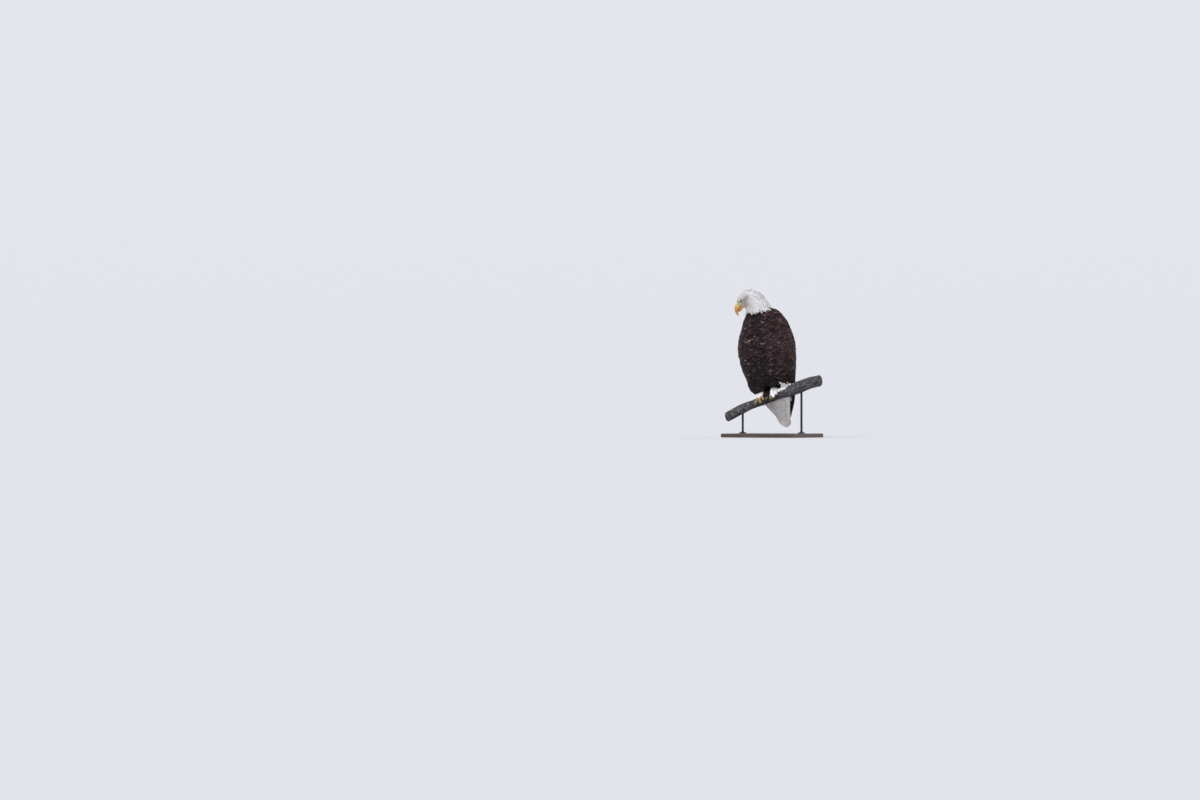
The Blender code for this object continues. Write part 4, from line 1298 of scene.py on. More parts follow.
FLIGHT_LOOK = (even(FLIGHT, 0.22), edged(COVERT_EDGE * 0.55, 0.3, 0.9))
COVERT_LOOK = (covert_tint, edged(COVERT_EDGE, 0.15, 1.0))
PRIMARY_TIPS = (  # height, turn
    (-0.085, 2), (-0.098, 5), (-0.104, 9), (-0.100, 14), (-0.090, 20), (-0.074, 27), (-0.055, 35),
)
SECONDARIES = 13
COVERT_ROWS = (  # count, height of the roots, heights of the tips, turns of the tips, half width, depth
    (15, 0.300, (0.148, 0.172), (-22, 72), 0.0170, 0.0036),
    (16, 0.345, (0.204, 0.224), (-26, 70), 0.0155, 0.0024),
    (17, 0.380, (0.250, 0.267), (-29, 68), 0.0140, 0.0013),
    (18, 0.410, (0.291, 0.306), (-31, 65), 0.0126, 0.0004),
    (19, 0.432, (0.328, 0.341), (-32, 61), 0.0115, -0.0003),
)
SHINGLE = radians(6)  # how far each wing feather turns its front edge up


def ordered(count):
    """Each feather's place in its row, from the front edge at 0 to the last at 1."""
    return np.linspace(0, 1, count)


def flight_feathers(coat, side):
    """The primaries, and the secondaries over them, whose tips rise towards the back."""
    count = len(PRIMARY_TIPS)
    order = ordered(count)
    starts = rows_of(np.full(count, 0.20), between(-14, 32, count))
    insets = rows_of(0.011 - 0.003 * order, 0.0040 - 0.0036 * order)
    quills(
        coat, side, starts, PRIMARY_TIPS, 0.0175, insets, FLIGHT_LOOK,
        narrow=0.85, camber=0.10, thick=0.0009, ragged=0.015, roll=side * SHINGLE,
    )
    count = SECONDARIES
    order = ordered(count)
    low = 0.058 - 0.080 * order + 0.035 * np.maximum(order - 0.75, 0) / 0.25
    starts = rows_of(np.full(count, 0.30), between(-16, 64, count))
    ends = rows_of(low, between(3, 73, count))
    insets = rows_of(0.0095 - 0.004 * order, 0.0062 - 0.0060 * order)
    quills(
        coat, side, starts, ends, 0.0190, insets, FLIGHT_LOOK,
        narrow=0.90, camber=0.12, thick=0.0009, ragged=0.02, roll=side * SHINGLE,
    )


def covert_rows(coat, side):
    """Five rows of coverts, each over the one below it."""
    for count, top, bottom, span, width, depth in COVERT_ROWS:
        order = ordered(count)
        starts = rows_of(np.full(count, top), between(span[0] - 4, span[1] - 6, count, 0.6))
        ends = rows_of(between(*bottom, count, 0.0055), between(*span, count, 0.8))
        insets = rows_of(depth + 0.0050 - 0.001 * order, depth - 0.0014 * order)
        quills(
            coat, side, starts, ends, width, insets, COVERT_LOOK,
            camber=0.14, thick=0.0008, ragged=0.04, split=0.05, roll=side * SHINGLE,
        )


def front_edge(coat, side):
    """The stiff coverts of the primaries and the alula, along the wing's front edge."""
    order = ordered(5)
    starts = rows_of(np.full(5, 0.225), between(-27, -14, 5))
    ends = rows_of(between(0.118, 0.098, 5), between(-14, 2, 5))
    insets = rows_of(0.0065 - 0.001 * order, 0.0050 - 0.0030 * order)
    quills(
        coat, side, starts, ends, 0.0105, insets, FLIGHT_LOOK,
        narrow=0.7, camber=0.12, thick=0.0008, ragged=0.02,
    )
    starts = rows_of(np.full(3, 0.262), between(-31, -27, 3))
    ends = rows_of(between(0.150, 0.182, 3), between(-21, -14, 3))
    insets = rows_of((0.0045, 0.0036, 0.0027), (0.0022, 0.0012, 0.0002))
    quills(
        coat, side, starts, ends, 0.0095, insets, FLIGHT_LOOK,
        narrow=0.6, camber=0.14, thick=0.0008, ragged=0.02,
    )


wing_coverts = Feathers(12, 9)
for word, side in OUTWARDS.items():
    wing_quills = Feathers(22, 9)
    flight_feathers(wing_quills, side)
    covert_rows(wing_coverts, side)
    front_edge(wing_coverts, side)
    for piece in wing_quills.made(f"quills_{word}", brown_vane, "wing_feathers"):
        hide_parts(f"wing_{word}_primaries")
wing_coverts.made("feathers_wing_coverts", covert_vane, "wing_feathers")

TAIL_PAIRS = 6
TAIL_WIDE, TAIL_TIP_WIDE = 0.034, 0.022
TAIL_FACING = (0.0, 0.85, 0.52)  # square to the tail's plane
TAIL_LOOK = (even(TAIL_WHITE, 0.04), edged(np.array((0.50, 0.44, 0.36)), 0.3, 0.7))


def tail_quills():
    """Six pairs of quills, the middle pair over the others, whose outer ones are shorter."""
    coat = Feathers(20, 9)
    shares = stations(coat.rows)
    count = 2 * TAIL_PAIRS
    order = np.repeat(np.arange(TAIL_PAIRS), 2)[:, None] / (TAIL_PAIRS - 1)
    sign = np.tile((1.0, -1.0), TAIL_PAIRS)[:, None]
    start_height, start_back = -0.030, TAIL_ROOT[1] - 0.028
    tip_height = TAIL_TIP[0] + 0.015 * order**1.5
    tip_back = TAIL_TIP[1] - 0.004 * order
    below = 0.0055 * order * (1 - 0.55 * shares)
    x = sign * (0.004 + TAIL_WIDE * order) * (1 - shares) + sign * (0.003 + TAIL_TIP_WIDE * order) * shares
    y = start_back + (tip_back - start_back) * shares - below
    height = start_height + (tip_height - start_height) * shares
    centres = np.stack((x, y, height), axis=-1) + GRIP
    normals = np.zeros_like(centres) + unit(np.array(TAIL_FACING))
    normals[:, :, 0] += sign * order * 0.25
    coat.add(
        centres, unit(normals), np.full(count, 0.0140), QUILL, TAIL_LOOK,
        camber=0.08, thick=0.0009, ragged=0.02,
    )
    for piece in coat.made("tail_quills", tail_vane, "tail_feathers"):
        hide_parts("tail")


tail_quills()


def along_tail(share, off):
    """Height and back of a place along the tail, off its plane towards the eagle's back."""
    height = TAIL_ROOT[0] + (TAIL_TIP[0] - TAIL_ROOT[0]) * share + 0.52 * off
    return height, TAIL_ROOT[1] + (TAIL_TIP[1] - TAIL_ROOT[1]) * share + 0.85 * off


TAIL_COVERTS = 13
TAIL_COVERT_ROWS = (  # heights of root and bend, share of the tail at the tip, how far off it, spread
    (-0.060, -0.080, 0.52, 0.0030, 0.027),
    (-0.050, -0.072, 0.36, 0.0055, 0.031),
    (-0.038, -0.064, 0.20, 0.0085, 0.034),
    (-0.022, -0.050, 0.04, 0.0120, 0.038),
)


def tail_coverts(coat, facing):
    """Long white feathers from the vent over the tail's root. facing is 1 behind and -1 in front."""
    count = TAIL_COVERTS
    shares = stations(coat.rows)
    share = shares[None, :, None]
    for start, middle, end, off, spread in TAIL_COVERT_ROWS:
        across = np.linspace(-1, 1, count) + 0.04 * rng.normal(size=count)
        turn = facing * 90 - facing * (50 - 10 * facing) * across
        first = envelope(start, turn, 0.006)
        bend = envelope(middle, turn, 0.003)
        under = 0.0055 * (facing < 0)  # in front, the tail's own outer quills lie deeper
        height, back = along_tail(end + 0.06 * rng.normal(size=count), facing * off - under)
        last = np.stack((spread * across, back, height), axis=1) + GRIP
        first, bend, last = (points[:, None] for points in (first, bend, last))
        centres = first * (1 - share) ** 2 + 2 * bend * share * (1 - share) + last * share**2
        normals = np.zeros_like(centres) + (0, 0.85 * facing, 0.4 * facing)
        normals[..., 0] = 0.5 * across[:, None]
        coat.add(
            centres, unit(normals), np.full(count, 0.0085), SOFT_POINT, WHITISH,
            tumble=0.15, ragged=0.12, split=0.25,
        )


FALL_TURN = radians(76)  # past this turn over the branch, feathers hang straight down
DOWN_OFF_BARK, DOWN_OVER_TOES, FOOT_REACH = 0.0030, 0.0165, 0.036


def over_branch(coat, count, span, start, end, look, half, sway=0.010):
    """Feathers that hang from under the belly over the branch's front, and over the toes there.

    span is where they are rooted along the branch, start the turn there, and end the turns of the tips.
    """
    root_x = span[0] + (span[1] - span[0]) * (np.arange(count) + rng.random(count)) / count
    shares = stations(coat.rows)
    x = root_x[:, None] + sway * rng.normal(size=count)[:, None] * shares
    first = radians(start) + radians(12) * rng.normal(size=count)[:, None]
    reach = np.interp(root_x, *np.array(end, float).T)
    reach = reach[:, None] + 10 * np.clip(rng.normal(size=count), -2.0, 1.0)[:, None]
    theta = first + (np.radians(reach) - first) * shares
    bent, over = np.minimum(theta, FALL_TURN), np.maximum(theta - FALL_TURN, 0)
    centre, along, radius = (part.reshape(*x.shape, *part.shape[1:]) for part in branch_at(x.ravel()))
    up = np.cross(along, BACK)
    up = np.where(up[..., 2:] < 0, -up, up)
    near_foot = [np.exp(-((np.abs(x - foot) / FOOT_REACH) ** 6)) for foot in FOOT_X.values()]
    out = DOWN_OFF_BARK + DOWN_OVER_TOES * np.maximum(*near_foot)
    out = out + 0.0015 * rng.random((count, 1)) - 0.0010 * (1 - shares)
    away = np.sin(bent)[..., None] * FRONT + np.cos(bent)[..., None] * up
    down = np.cos(bent)[..., None] * FRONT - np.sin(bent)[..., None] * up
    centres = centre + away * (radius + out)[..., None] + down * (over * (radius + out))[..., None]
    widths = half * (1 + 0.15 * rng.normal(size=count))
    coat.add(centres, away, widths, SOFT_POINT, look, tumble=0.40, camber=0.10, ragged=0.14, split=0.25)


BELLY_ENDS = ((0.05, 72), (0.12, 60), (0.14, 36))  # x, degrees over the branch
TOE_ENDS = ((0.034, 68), (0.050, 104), (0.062, 76))
FAR_ENDS = ((-0.070, 44), (-0.040, 66), (-0.012, 58))
LEG_ENDS = ((-0.010, 66), (0.014, 88), (0.037, 76))

drape = Feathers(10, 7)
tail_coverts(drape, 1)
tail_coverts(drape, -1)
for start in (-34, -24, -14, -4):
    over_branch(drape, 28, (0.052, 0.136), start, BELLY_ENDS, WHITISH, 0.0042)
    over_branch(drape, 12, (0.034, 0.062), start, TOE_ENDS, WHITISH, 0.0040, 0.004)
    over_branch(drape, 20, (-0.070, -0.012), start, FAR_ENDS, WHITISH, 0.0040)
drape.made("feathers_fluff", down_vane, "white_plumage")
legs = Feathers(10, 7)
for start in (-30, -20, -8):
    over_branch(legs, 15, (-0.010, 0.037), start, LEG_ENDS, BROWN, 0.0044, 0.005)
legs.made("feathers_leg", brown_vane, "brown_plumage")


# ---- head: bill, eyes, lids and brows -------------------------------------------------------------

def bill_rings(table, at, sides=40, power=2.3, bend=0.0):
    """Rings of the bill between its two edges, as side, forward and up.

    bend moves a ring on along the bill halfway up its sides, one number for each ring.
    """
    turn = circle(sides)
    across = np.abs(np.cos(turn)) ** (2 / power) * np.sign(np.cos(turn))
    along = np.abs(np.sin(turn)) ** (2 / power) * np.sign(np.sin(turn))
    where = np.asarray(at)[:, None] + np.broadcast_to(bend, len(at))[:, None] * (1 - along**2)
    top_f, top_u, low_f, low_u, width = read(numbered(table), where.ravel()).T.reshape(5, len(at), sides)
    forward = (top_f + low_f) / 2 + (top_f - low_f) / 2 * along
    up = (top_u + low_u) / 2 + (top_u - low_u) / 2 * along
    behind = np.minimum(where, 0) * BILL_ROOT
    pinch = 1 - 0.22 * np.maximum(along, 0) ** 3
    return np.stack((width * across * pinch, forward + behind, up), axis=-1)


def head_loft(name, rings, angle=None):
    return loft(name, in_head(rings[..., 0], rings[..., 1], rings[..., 2]), angle)


def horn_material(name, roughness, line_scale):
    n = Nodes(name)
    tint = n.attribute("tint")
    grain = n.noise(n.place(), line_scale, 5.0)
    fine = n.noise(n.place(), line_scale * 6, 3.0)
    shade = n.ramp(grain, 0.25, 0.75, 0.84, 1.10)
    n.bump(n.plus(grain, n.times(fine, 0.4)), 0.25, 0.0006)
    rough = n.ramp(fine, 0.3, 0.7, roughness - 0.06, roughness + 0.10)
    return n.finish(n.shaded(tint.outputs["Color"], shade), rough)


BILL_ROOT = 0.0060  # how far the bill goes on under the feathers for each station before its first
BILL_ORANGE = np.array((0.48, 0.195, 0.042))
BILL_YELLOW = np.array((0.52, 0.30, 0.072))
CERE_YELLOW = np.array((0.46, 0.33, 0.105))
# The mouth's flesh, painted dark as painted shade in the slit between the mandibles.
MOUTH_FLESH_IN_SHADE = np.array((0.05, 0.022, 0.014))


def bill_colours(obj):
    """Orange horn, more yellow at its root and at the hook's tip."""
    _, forward, up = to_head(coordinates(obj.data))
    tip = ease(-up, 0.008, 0.034)[:, None] * ease(forward, 0.055, 0.075)[:, None]
    base = (1 - ease(forward, 0.044, 0.060))[:, None]
    colour = BILL_ORANGE + (BILL_YELLOW - BILL_ORANGE) * np.maximum(tip * 0.8, base * 0.7)
    colour_attribute(obj.data, colour)


horn = horn_material("bill horn", 0.32, 90.0)
CERE_BEND = 0.55  # stations that the cere's edge swells forward halfway up its side
HOOK = len(BILL_UPPER) - 1  # the last station
CERE_EDGE, CERE_UNDER = HOOK * CERE_END, 0.7  # stations: where it ends, and how far it starts inside
NOSTRIL = (0.0425, 0.0085)  # forward and up
NOSTRIL_LONG, NOSTRIL_HIGH, NOSTRIL_DEEP = 0.0017, 0.0036, 0.0026


def bill():
    """The horn of both mandibles."""
    at = np.linspace(0, 1, 70)
    upper_at = CERE_EDGE * (1 - at) + HOOK * at - CERE_BEND / 2 * (1 - at)
    upper = bill_rings(BILL_UPPER, upper_at, 48, bend=CERE_BEND * (1 - at) ** 2)
    lower = bill_rings(BILL_LOWER, np.linspace(-2.0, len(BILL_LOWER) - 1, 40), 48)
    for half, rings in (("upper", upper), ("lower", lower)):
        made = head_loft(f"bill_{half}_horn", rings, 50)
        bill_colours(made)
        finished(made, horn, "bill_horn", f"bill_{half}")


def cere():
    """The bare skin over the bill's root, with its slit nostrils."""
    at = np.linspace(0, 1, 60)
    cere_at = -CERE_UNDER + (CERE_EDGE - CERE_BEND / 2 + CERE_UNDER) * at
    rings = bill_rings(BILL_UPPER, cere_at, 96, bend=CERE_BEND * at**2)
    side, forward, up = rings[..., 0], rings[..., 1] - NOSTRIL[0], rings[..., 2] - NOSTRIL[1]
    slit = np.hypot((forward + 0.45 * up) / NOSTRIL_LONG, (up - 0.2 * forward) / NOSTRIL_HIGH)
    hole = (1 - ease(slit, 0.50, 1.10)) * (np.abs(side) > 0.004)
    lip = np.exp(-((slit - 1.35) / 0.35) ** 2) * 0.0004
    swell = 0.0006 * ease(at, 0.70, 0.92) * (1 - ease(at, 0.96, 1.0)) + 0.0004
    rings[..., 0] += np.sign(side) * (swell[:, None] + lip - NOSTRIL_DEEP * hole)
    made = head_loft("cere_skin", rings)
    # The nostril's dent is painted nearly black: painted shade standing in for the dark of its opening.
    colour_attribute(made.data, CERE_YELLOW * (1 - 0.94 * hole.reshape(-1, 1)))
    finished(made, cere_finish, "cere", "cere")


def mouth():
    """The inside of the mouth, between the two mandibles: its flesh painted dark, as painted shade in the
    slit between them.
    """
    share, turn = np.linspace(0, 1, 20)[:, None], circle(16)[None, :]
    side = 0.0085 * (1 - 0.6 * share) * np.cos(turn)
    forward = 0.030 + 0.035 * share + 0 * turn
    up = -0.0093 - 0.0032 * share**3 - 0.0010 * share + 0.0008 * np.sin(turn)
    made = head_loft("mouth", np.stack((side, forward, up), axis=-1))
    colour_attribute(made.data, MOUTH_FLESH_IN_SHADE)
    finished(made, cere_finish, "bill_horn")


cere_finish = horn_material("cere", 0.42, 160.0)
bill()
cere()
mouth()


GAZE = (0.84, 0.54, 0.04)  # outwards, forward and up


def eye_axes(side):
    """Centre of an eye, and the directions it looks, forward and up across that."""
    turn = HEAD[:3, :3]
    gaze = unit(turn @ np.array((side * GAZE[0], -GAZE[1], GAZE[2])))
    ahead = turn @ FRONT
    ahead = unit(ahead - gaze * np.dot(gaze, ahead))
    up = np.cross(gaze, ahead)
    return eye_centre(side), gaze, ahead, up if np.dot(up, turn[:, 2]) > 0 else -up


def on_eye(axes, theta, phi, radius):
    """Points theta from the gaze, phi round it from forward, radius out from the eye's centre."""
    centre, gaze, ahead, up = axes
    theta, phi, radius = np.broadcast_arrays(theta, phi, radius)
    return centre + radius[..., None] * (
        np.cos(theta)[..., None] * gaze
        + np.sin(theta)[..., None] * (np.cos(phi)[..., None] * ahead + np.sin(phi)[..., None] * up)
    )


def eye_material():
    n = Nodes("eye")
    tint = n.attribute("tint")
    streak = n.noise(n.place(), 900.0, 4.0)
    shade = n.ramp(streak, 0.3, 0.7, 0.78, 1.12)
    return n.finish(n.shaded(tint.outputs["Color"], shade), 0.04, Specular_IOR_Level=0.15)


def eyelids(name, axes, around=96, section=16):
    """Two lids in one ring: a thick rim on the ball, and a skirt that sinks under the feathers."""
    phi = circle(around)
    opening = radians(41) + radians(5) * np.cos(2 * phi) + radians(2) * np.cos(phi)
    opening = opening - radians(9) * np.maximum(np.sin(phi - radians(8)), 0) ** 1.5
    share = np.linspace(0, 1, section // 2)
    skirt = radians(17) + radians(5) * np.abs(np.cos(phi))[:, None]
    outer_theta = opening[:, None] + skirt * share
    swell = 0.0008 * np.sin(pi * np.minimum(share * 2.2 + 0.12, 1.0)) ** 0.7
    outer_radius = EYE_RADIUS + 0.0004 + swell + 0.0006 * share**2
    outer_radius = np.where(share < 0.45, outer_radius, np.maximum(outer_radius, EYE_RADIUS + 0.0009))
    inner_radius = np.full(section // 2, EYE_RADIUS - 0.0012)
    theta = np.concatenate((outer_theta, outer_theta[:, ::-1]), axis=1)
    radius = np.concatenate((outer_radius, inner_radius))[None, :] * np.ones((around, 1))
    rings = on_eye(axes, theta, phi[:, None], radius)
    faces = [
        (i * section + j, i * section + (j + 1) % section,
         (i + 1) % around * section + (j + 1) % section, (i + 1) % around * section + j)
        for i in range(around) for j in range(section)
    ]
    made = mesh_object(name, rings.reshape(-1, 3), faces)
    rim = np.concatenate((1 - ease(share, 0.05, 0.24), np.ones(section // 2)))
    rim = np.tile(rim, around)[:, None]
    colour_attribute(made.data, LID_SKIN * (1 - rim) + LID_RIM * rim)
    return made


def skull_side(forward, up):
    """How far out from its middle the head's surface is at a place of its side."""
    at = np.interp(forward, [row[0] for row in SKULL], range(len(SKULL)))
    _, width, crown, chin = read(numbered(SKULL), at).T
    sine = (up - (crown + chin) / 2) / ((crown - chin) / 2)
    return np.abs(shaped_cheek(width * np.sqrt(np.maximum(1 - sine**2, 0.02)), forward, up))


def ridge(name, side, forward, up, out, size, colour, flat):
    """A soft ridge along the side of the head, in its own frame, with ends that taper."""
    turn = circle(24)[None, :]
    forward, up, out, size = (row[:, None] for row in (forward, up, out, size))
    side = side * (out + np.cos(turn) * size)
    up = up + np.sin(turn) * size * flat
    made = head_loft(name, np.stack((side, forward + 0 * turn, up), axis=-1))
    colour_attribute(made.data, colour)
    return made


BROW_LINE, BROW_FALL = 0.0064, -0.32  # height over the eye's middle, and fall towards the bill
BROW_OUT = 0.0029  # how far out from the eyeball the brow's edge is
BROW_ROOT = radians(112)  # from the gaze


def brow_out(share):
    """How far out the brow is from the eye's middle, from its edge at 0 to its root at 1."""
    return EYE_RADIUS + BROW_OUT * (1 - 0.55 * share)


def brow_edge(phi):
    """How far from the gaze the brow's edge is, on a nearly straight line over the eye."""
    rise = np.sin(phi) - BROW_FALL * np.cos(phi)
    reach = np.where(rise > 0.05, BROW_LINE / np.maximum(rise, 0.05), 1.0)
    return np.arcsin(np.clip(reach / (EYE_RADIUS + BROW_OUT), 0, 0.985))


def brow_visor(name, axes):
    """The bony shelf over the eye: a shell whose edge shades the eye's upper part."""
    phi = np.linspace(radians(-16), radians(168), 70)
    edge = brow_edge(phi)
    share = np.linspace(0, 1, 9)
    theta = edge[:, None] + (BROW_ROOT - edge[:, None]) * share
    out = brow_out(share)
    lip = 0.0005 * np.sin(pi * np.minimum(share * 4, 1.0))
    outer = on_eye(axes, theta, phi[:, None], out + lip)
    inner = on_eye(axes, theta[:, ::-1] + radians(1.5), phi[:, None], out[::-1] - 0.0012)
    rings = np.concatenate((outer, inner), axis=1)
    made = mesh_object(name, rings.reshape(-1, 3), tube_faces(len(phi), rings.shape[1]))
    colour_attribute(made.data, BROW_SKIN)
    return made


BROW_LOOK = (even(WHITE * (0.86, 0.86, 0.80), 0.09), WHITISH[1])


def brow_tufts(coat, axes):
    """Short feathers over the brow, rooted behind it and lying back along it."""
    for row, (root, tip) in enumerate(((0.92, 0.50), (0.62, 0.22), (0.40, 0.07))):
        count = 64
        start = radians(-14) + radians(160) * (np.arange(count) + 0.5 * (row % 2)) / count
        start = start + radians(1.5) * rng.normal(size=count)
        shares = stations(coat.rows)
        phi = start[:, None] + radians(24) * shares
        place = root + (tip - root) * shares[None, :] + 0.02 * rng.normal(size=(count, 1)) * shares
        edge = brow_edge(phi)
        theta = edge + (BROW_ROOT - edge) * place
        out = brow_out(place) + 0.0004 + 0.0007 * shares**0.8
        centres = on_eye(axes, theta, phi, out)
        normals = unit(centres - axes[0])
        coat.add(
            centres, normals, np.full(count, 0.0009), LANCE, BROW_LOOK,
            tumble=0.05, thick=0.0005, ragged=0.02,
        )


def gape_flange(name, side):
    """The fleshy corner of the mouth, running back from the bill under the eye."""
    share = np.linspace(0, 1, 48)
    forward = 0.0425 - 0.0250 * share
    up = -0.0100 - 0.0036 * share**1.4
    skull = skull_side(np.minimum(forward, 0.0360), up)
    out = 0.0095 + (np.maximum(skull, 0.0125) - 0.0095) * ease(-forward, -0.044, -0.031)
    size = 0.0006 + 0.0014 * ease(share, 0.0, 0.35) * (1 - ease(share, 0.60, 1.0))
    return ridge(name, side, forward, up, out - 0.0007 - 0.0016 * share**2, size, GAPE_YELLOW, 0.80)


GAPE_YELLOW = np.array((0.56, 0.39, 0.115))
LID_SKIN, LID_RIM = np.array((0.20, 0.19, 0.14)), np.array((0.020, 0.018, 0.016))
BROW_SKIN = np.array((0.24, 0.22, 0.14))
PUPIL, IRIS = radians(22), radians(42)
IRIS_COLOUR = np.array((0.58, 0.46, 0.17))
PUPIL_BLACK, BALL_DARK = np.array((0.003, 0.003, 0.004)), np.array((0.03, 0.025, 0.02))


def eyeball(name, axes, sides=72):
    """A ball with a bulging cornea: pupil, iris with a dark edge, and the dark ball behind the lids."""
    edge = IRIS * 1.1
    theta = np.concatenate((np.linspace(0.002, edge, 40), np.linspace(edge + 0.05, pi - 0.01, 30)))
    bulge = 1 + 0.055 * (1 - ease(theta, 0.0, radians(46)))
    ball = loft(name, on_eye(axes, theta[:, None], circle(sides)[None, :], (EYE_RADIUS * bulge)[:, None]))
    ring = np.repeat(theta, sides)[:, None]
    rim, inner = ease(ring, IRIS * 0.86, IRIS), 1 - ease(ring, PUPIL, PUPIL * 1.4)
    colour = IRIS_COLOUR * (1 - 0.65 * rim - 0.25 * inner)
    colour = colour * ease(ring, PUPIL * 0.94, PUPIL) + PUPIL_BLACK
    colour_attribute(ball.data, np.where(ring > IRIS, BALL_DARK, colour))
    return ball


eye_finish = eye_material()
lid_finish = horn_material("lids and brow", 0.55, 300.0)
brows = Feathers(6, 3)
for word, side in OUTWARDS.items():
    axes = eye_axes(side)
    finished(eyeball(f"eyeball_{word}", axes), eye_finish, "eye", f"eye_{word}")
    finished(eyelids(f"lids_{word}", axes), lid_finish, "cere")
    finished(brow_visor(f"brow_{word}", axes), lid_finish, "cere")
    brow_tufts(brows, axes)
    finished(gape_flange(f"gape_{word}", side), lid_finish, "cere")
brows.made("feathers_brow", white_vane, "white_plumage")


# ---- feet -----------------------------------------------------------------------------------------

BARK_ROUGH = 0.0022  # how far the toes keep off the branch's own radius, for its swellings and bark
SHANK_PLATES, TOE_PLATES = 6, 14
TALON_BLACK = np.array((0.016, 0.014, 0.013))


def round_branch(side, turn, spread, out):
    """Points at a turn (degrees from the top towards the front) round the branch, out from its bark."""
    centre, along, radius = (found[0] for found in branch_at(FOOT_X[side]))
    up = unit(np.array((0, 0, 1.0)) - along * along[2])
    turn, spread, out = np.broadcast_arrays(np.radians(turn), spread, out)
    reach = (radius + BARK_ROUGH + out)[..., None]
    around = np.sin(turn)[..., None] * FRONT + np.cos(turn)[..., None] * up
    return centre + along * spread[..., None] + around * reach


def toe_point(side, toe, share, out):
    """Points along a toe and on along its talon. Share 0 is at the pad and 1 at the toe's end."""
    end, spread = TOES[toe]
    start = 6 if end > 0 else -6
    sideways = OUTWARDS[side] * spread * np.clip(share, 0.0, 1.15) ** 0.8
    return round_branch(side, start + (end - start) * share, sideways, out)


def toe_radius(share):
    """A toe's radius along it, with a swelling at each joint."""
    plain = np.interp(np.clip(share, 0, 1) * 3, range(4), TOE_RADIUS)
    return plain * (1 + 0.08 * np.cos(6 * pi * share))


def tube(name, path, radii, sides):
    """A limb along a path, with a radius for each of its rings."""
    along = unit(np.gradient(path, axis=0))
    across = unit(np.cross(along, (1, 0.2, 0.1)))
    other = np.cross(along, across)
    wide, tall = (radii[:, None] * way(circle(sides)) for way in (np.cos, np.sin))
    return loft(name, path[:, None] + across[:, None] * wide[..., None] + other[:, None] * tall[..., None])


def scutes(share, count):
    """Low overlapping plates along a toe: each rises towards the talon and then drops."""
    return 0.075 * (share * count % 1.0) ** 1.5


def plated(data, paths):
    """Colours a foot by the plates across its toes: a dark line where each plate's edge is."""
    points = coordinates(data)
    nearest, across = np.full(len(points), 9.0), np.zeros(len(points))
    for path, count in paths:
        for k in range(len(path)):
            distance = np.linalg.norm(points - path[k], axis=1)
            closer = distance < nearest
            nearest[closer] = distance[closer]
            across[closer] = k / (len(path) - 1) * count % 1.0
    line = 1 - ease(np.minimum(across, 1 - across), 0.0, 0.12)
    colour = FOOT_YELLOW * (1 - 0.34 * line)[:, None] * (0.90 + 0.16 * across)[:, None]
    colour_attribute(data, colour)


FOOT_YELLOW = np.array((0.40, 0.27, 0.085))


def foot_material():
    n = Nodes("scaled foot")
    tint = n.attribute("tint")
    cells = n.add("ShaderNodeTexVoronoi", feature="DISTANCE_TO_EDGE")
    n.link(n.place(), cells.inputs["Vector"])
    cells.inputs["Scale"].default_value = 900.0
    groove = n.ramp(cells.outputs["Distance"], 0.0, 0.14, 0.66, 1.0)
    patch = n.ramp(n.noise(n.place(), 70.0), 0.3, 0.7, 0.70, 1.08)
    colour = n.shaded(tint.outputs["Color"], n.times(groove, patch))
    rise = n.add("ShaderNodeSeparateXYZ")
    n.link(tint.outputs["Vector"], rise.inputs[0])
    n.bump(n.plus(n.times(rise.outputs[0], 4.0), groove), 0.6, 0.0006)
    return n.finish(colour, 0.55)


def foot(side):
    """The scaled shank and toes, grown together into one skin."""
    centre, _, radius = (found[0] for found in branch_at(FOOT_X[side]))
    ankle = np.array((centre[0], GRIP[1] + THIGH[0][2], centre[2] + radius + THIGH[0][0] + 0.010))
    pad = round_branch(side, 0, 0, TOE_RADIUS[0])
    share = np.linspace(0, 1, 30)
    shank = ankle + (pad - ankle) * share[:, None]
    paths = [(shank, SHANK_PLATES)]
    parts = [tube(f"shank {side}", shank, TARSUS_RADIUS * (1 + scutes(share, SHANK_PLATES)), 24)]
    share = np.linspace(-0.05, 1.0, 60)
    end = np.sqrt(np.clip(1 - ((share - 0.86) / 0.145) ** 2, 0.02, 1))
    radii = toe_radius(share) * (1 + 0.6 * scutes(share, TOE_PLATES)) * np.where(share > 0.86, end, 1)
    for toe in TOES:
        path = toe_point(side, toe, share, toe_radius(share) + 0.0003)
        paths.append((path, TOE_PLATES))
        parts.append(tube(f"toe {side} {toe}", path, radii, 24))
    made = fused(joined(f"foot_scaled_{side}", parts), 0.0009, 2)
    plated(made.data, paths)
    finished(made, foot_finish, "scaled_foot", f"foot_{side}")


def talons(side):
    """The four claws, each on from its toe's end and round the branch."""
    gone = np.linspace(0, 1, 30)
    radii = TALON_RADIUS * (1 - 0.93 * gone**1.5)
    settled = (TOE_RADIUS[-1] - TALON_RADIUS) * (1 - gone) ** 2
    claws = []
    for toe, (end, _) in TOES.items():
        reach = 0.90 + (0.10 + TALON_TURN / abs(end)) * gone
        claws.append(tube(f"claw {toe}", toe_point(side, toe, reach, settled + radii + 0.0006), radii, 20))
    made = joined(f"talons_{side}", claws)
    colour_attribute(made.data, TALON_BLACK)
    finished(made, talon_finish, "talon_horn", *(f"talon_{side}_{toe}" for toe in TOES))


foot_finish = foot_material()
talon_finish = horn_material("talon horn", 0.22, 200.0)
for side in OUTWARDS:
    foot(side)
    talons(side)


# ---- perch and stand ------------------------------------------------------------------------------

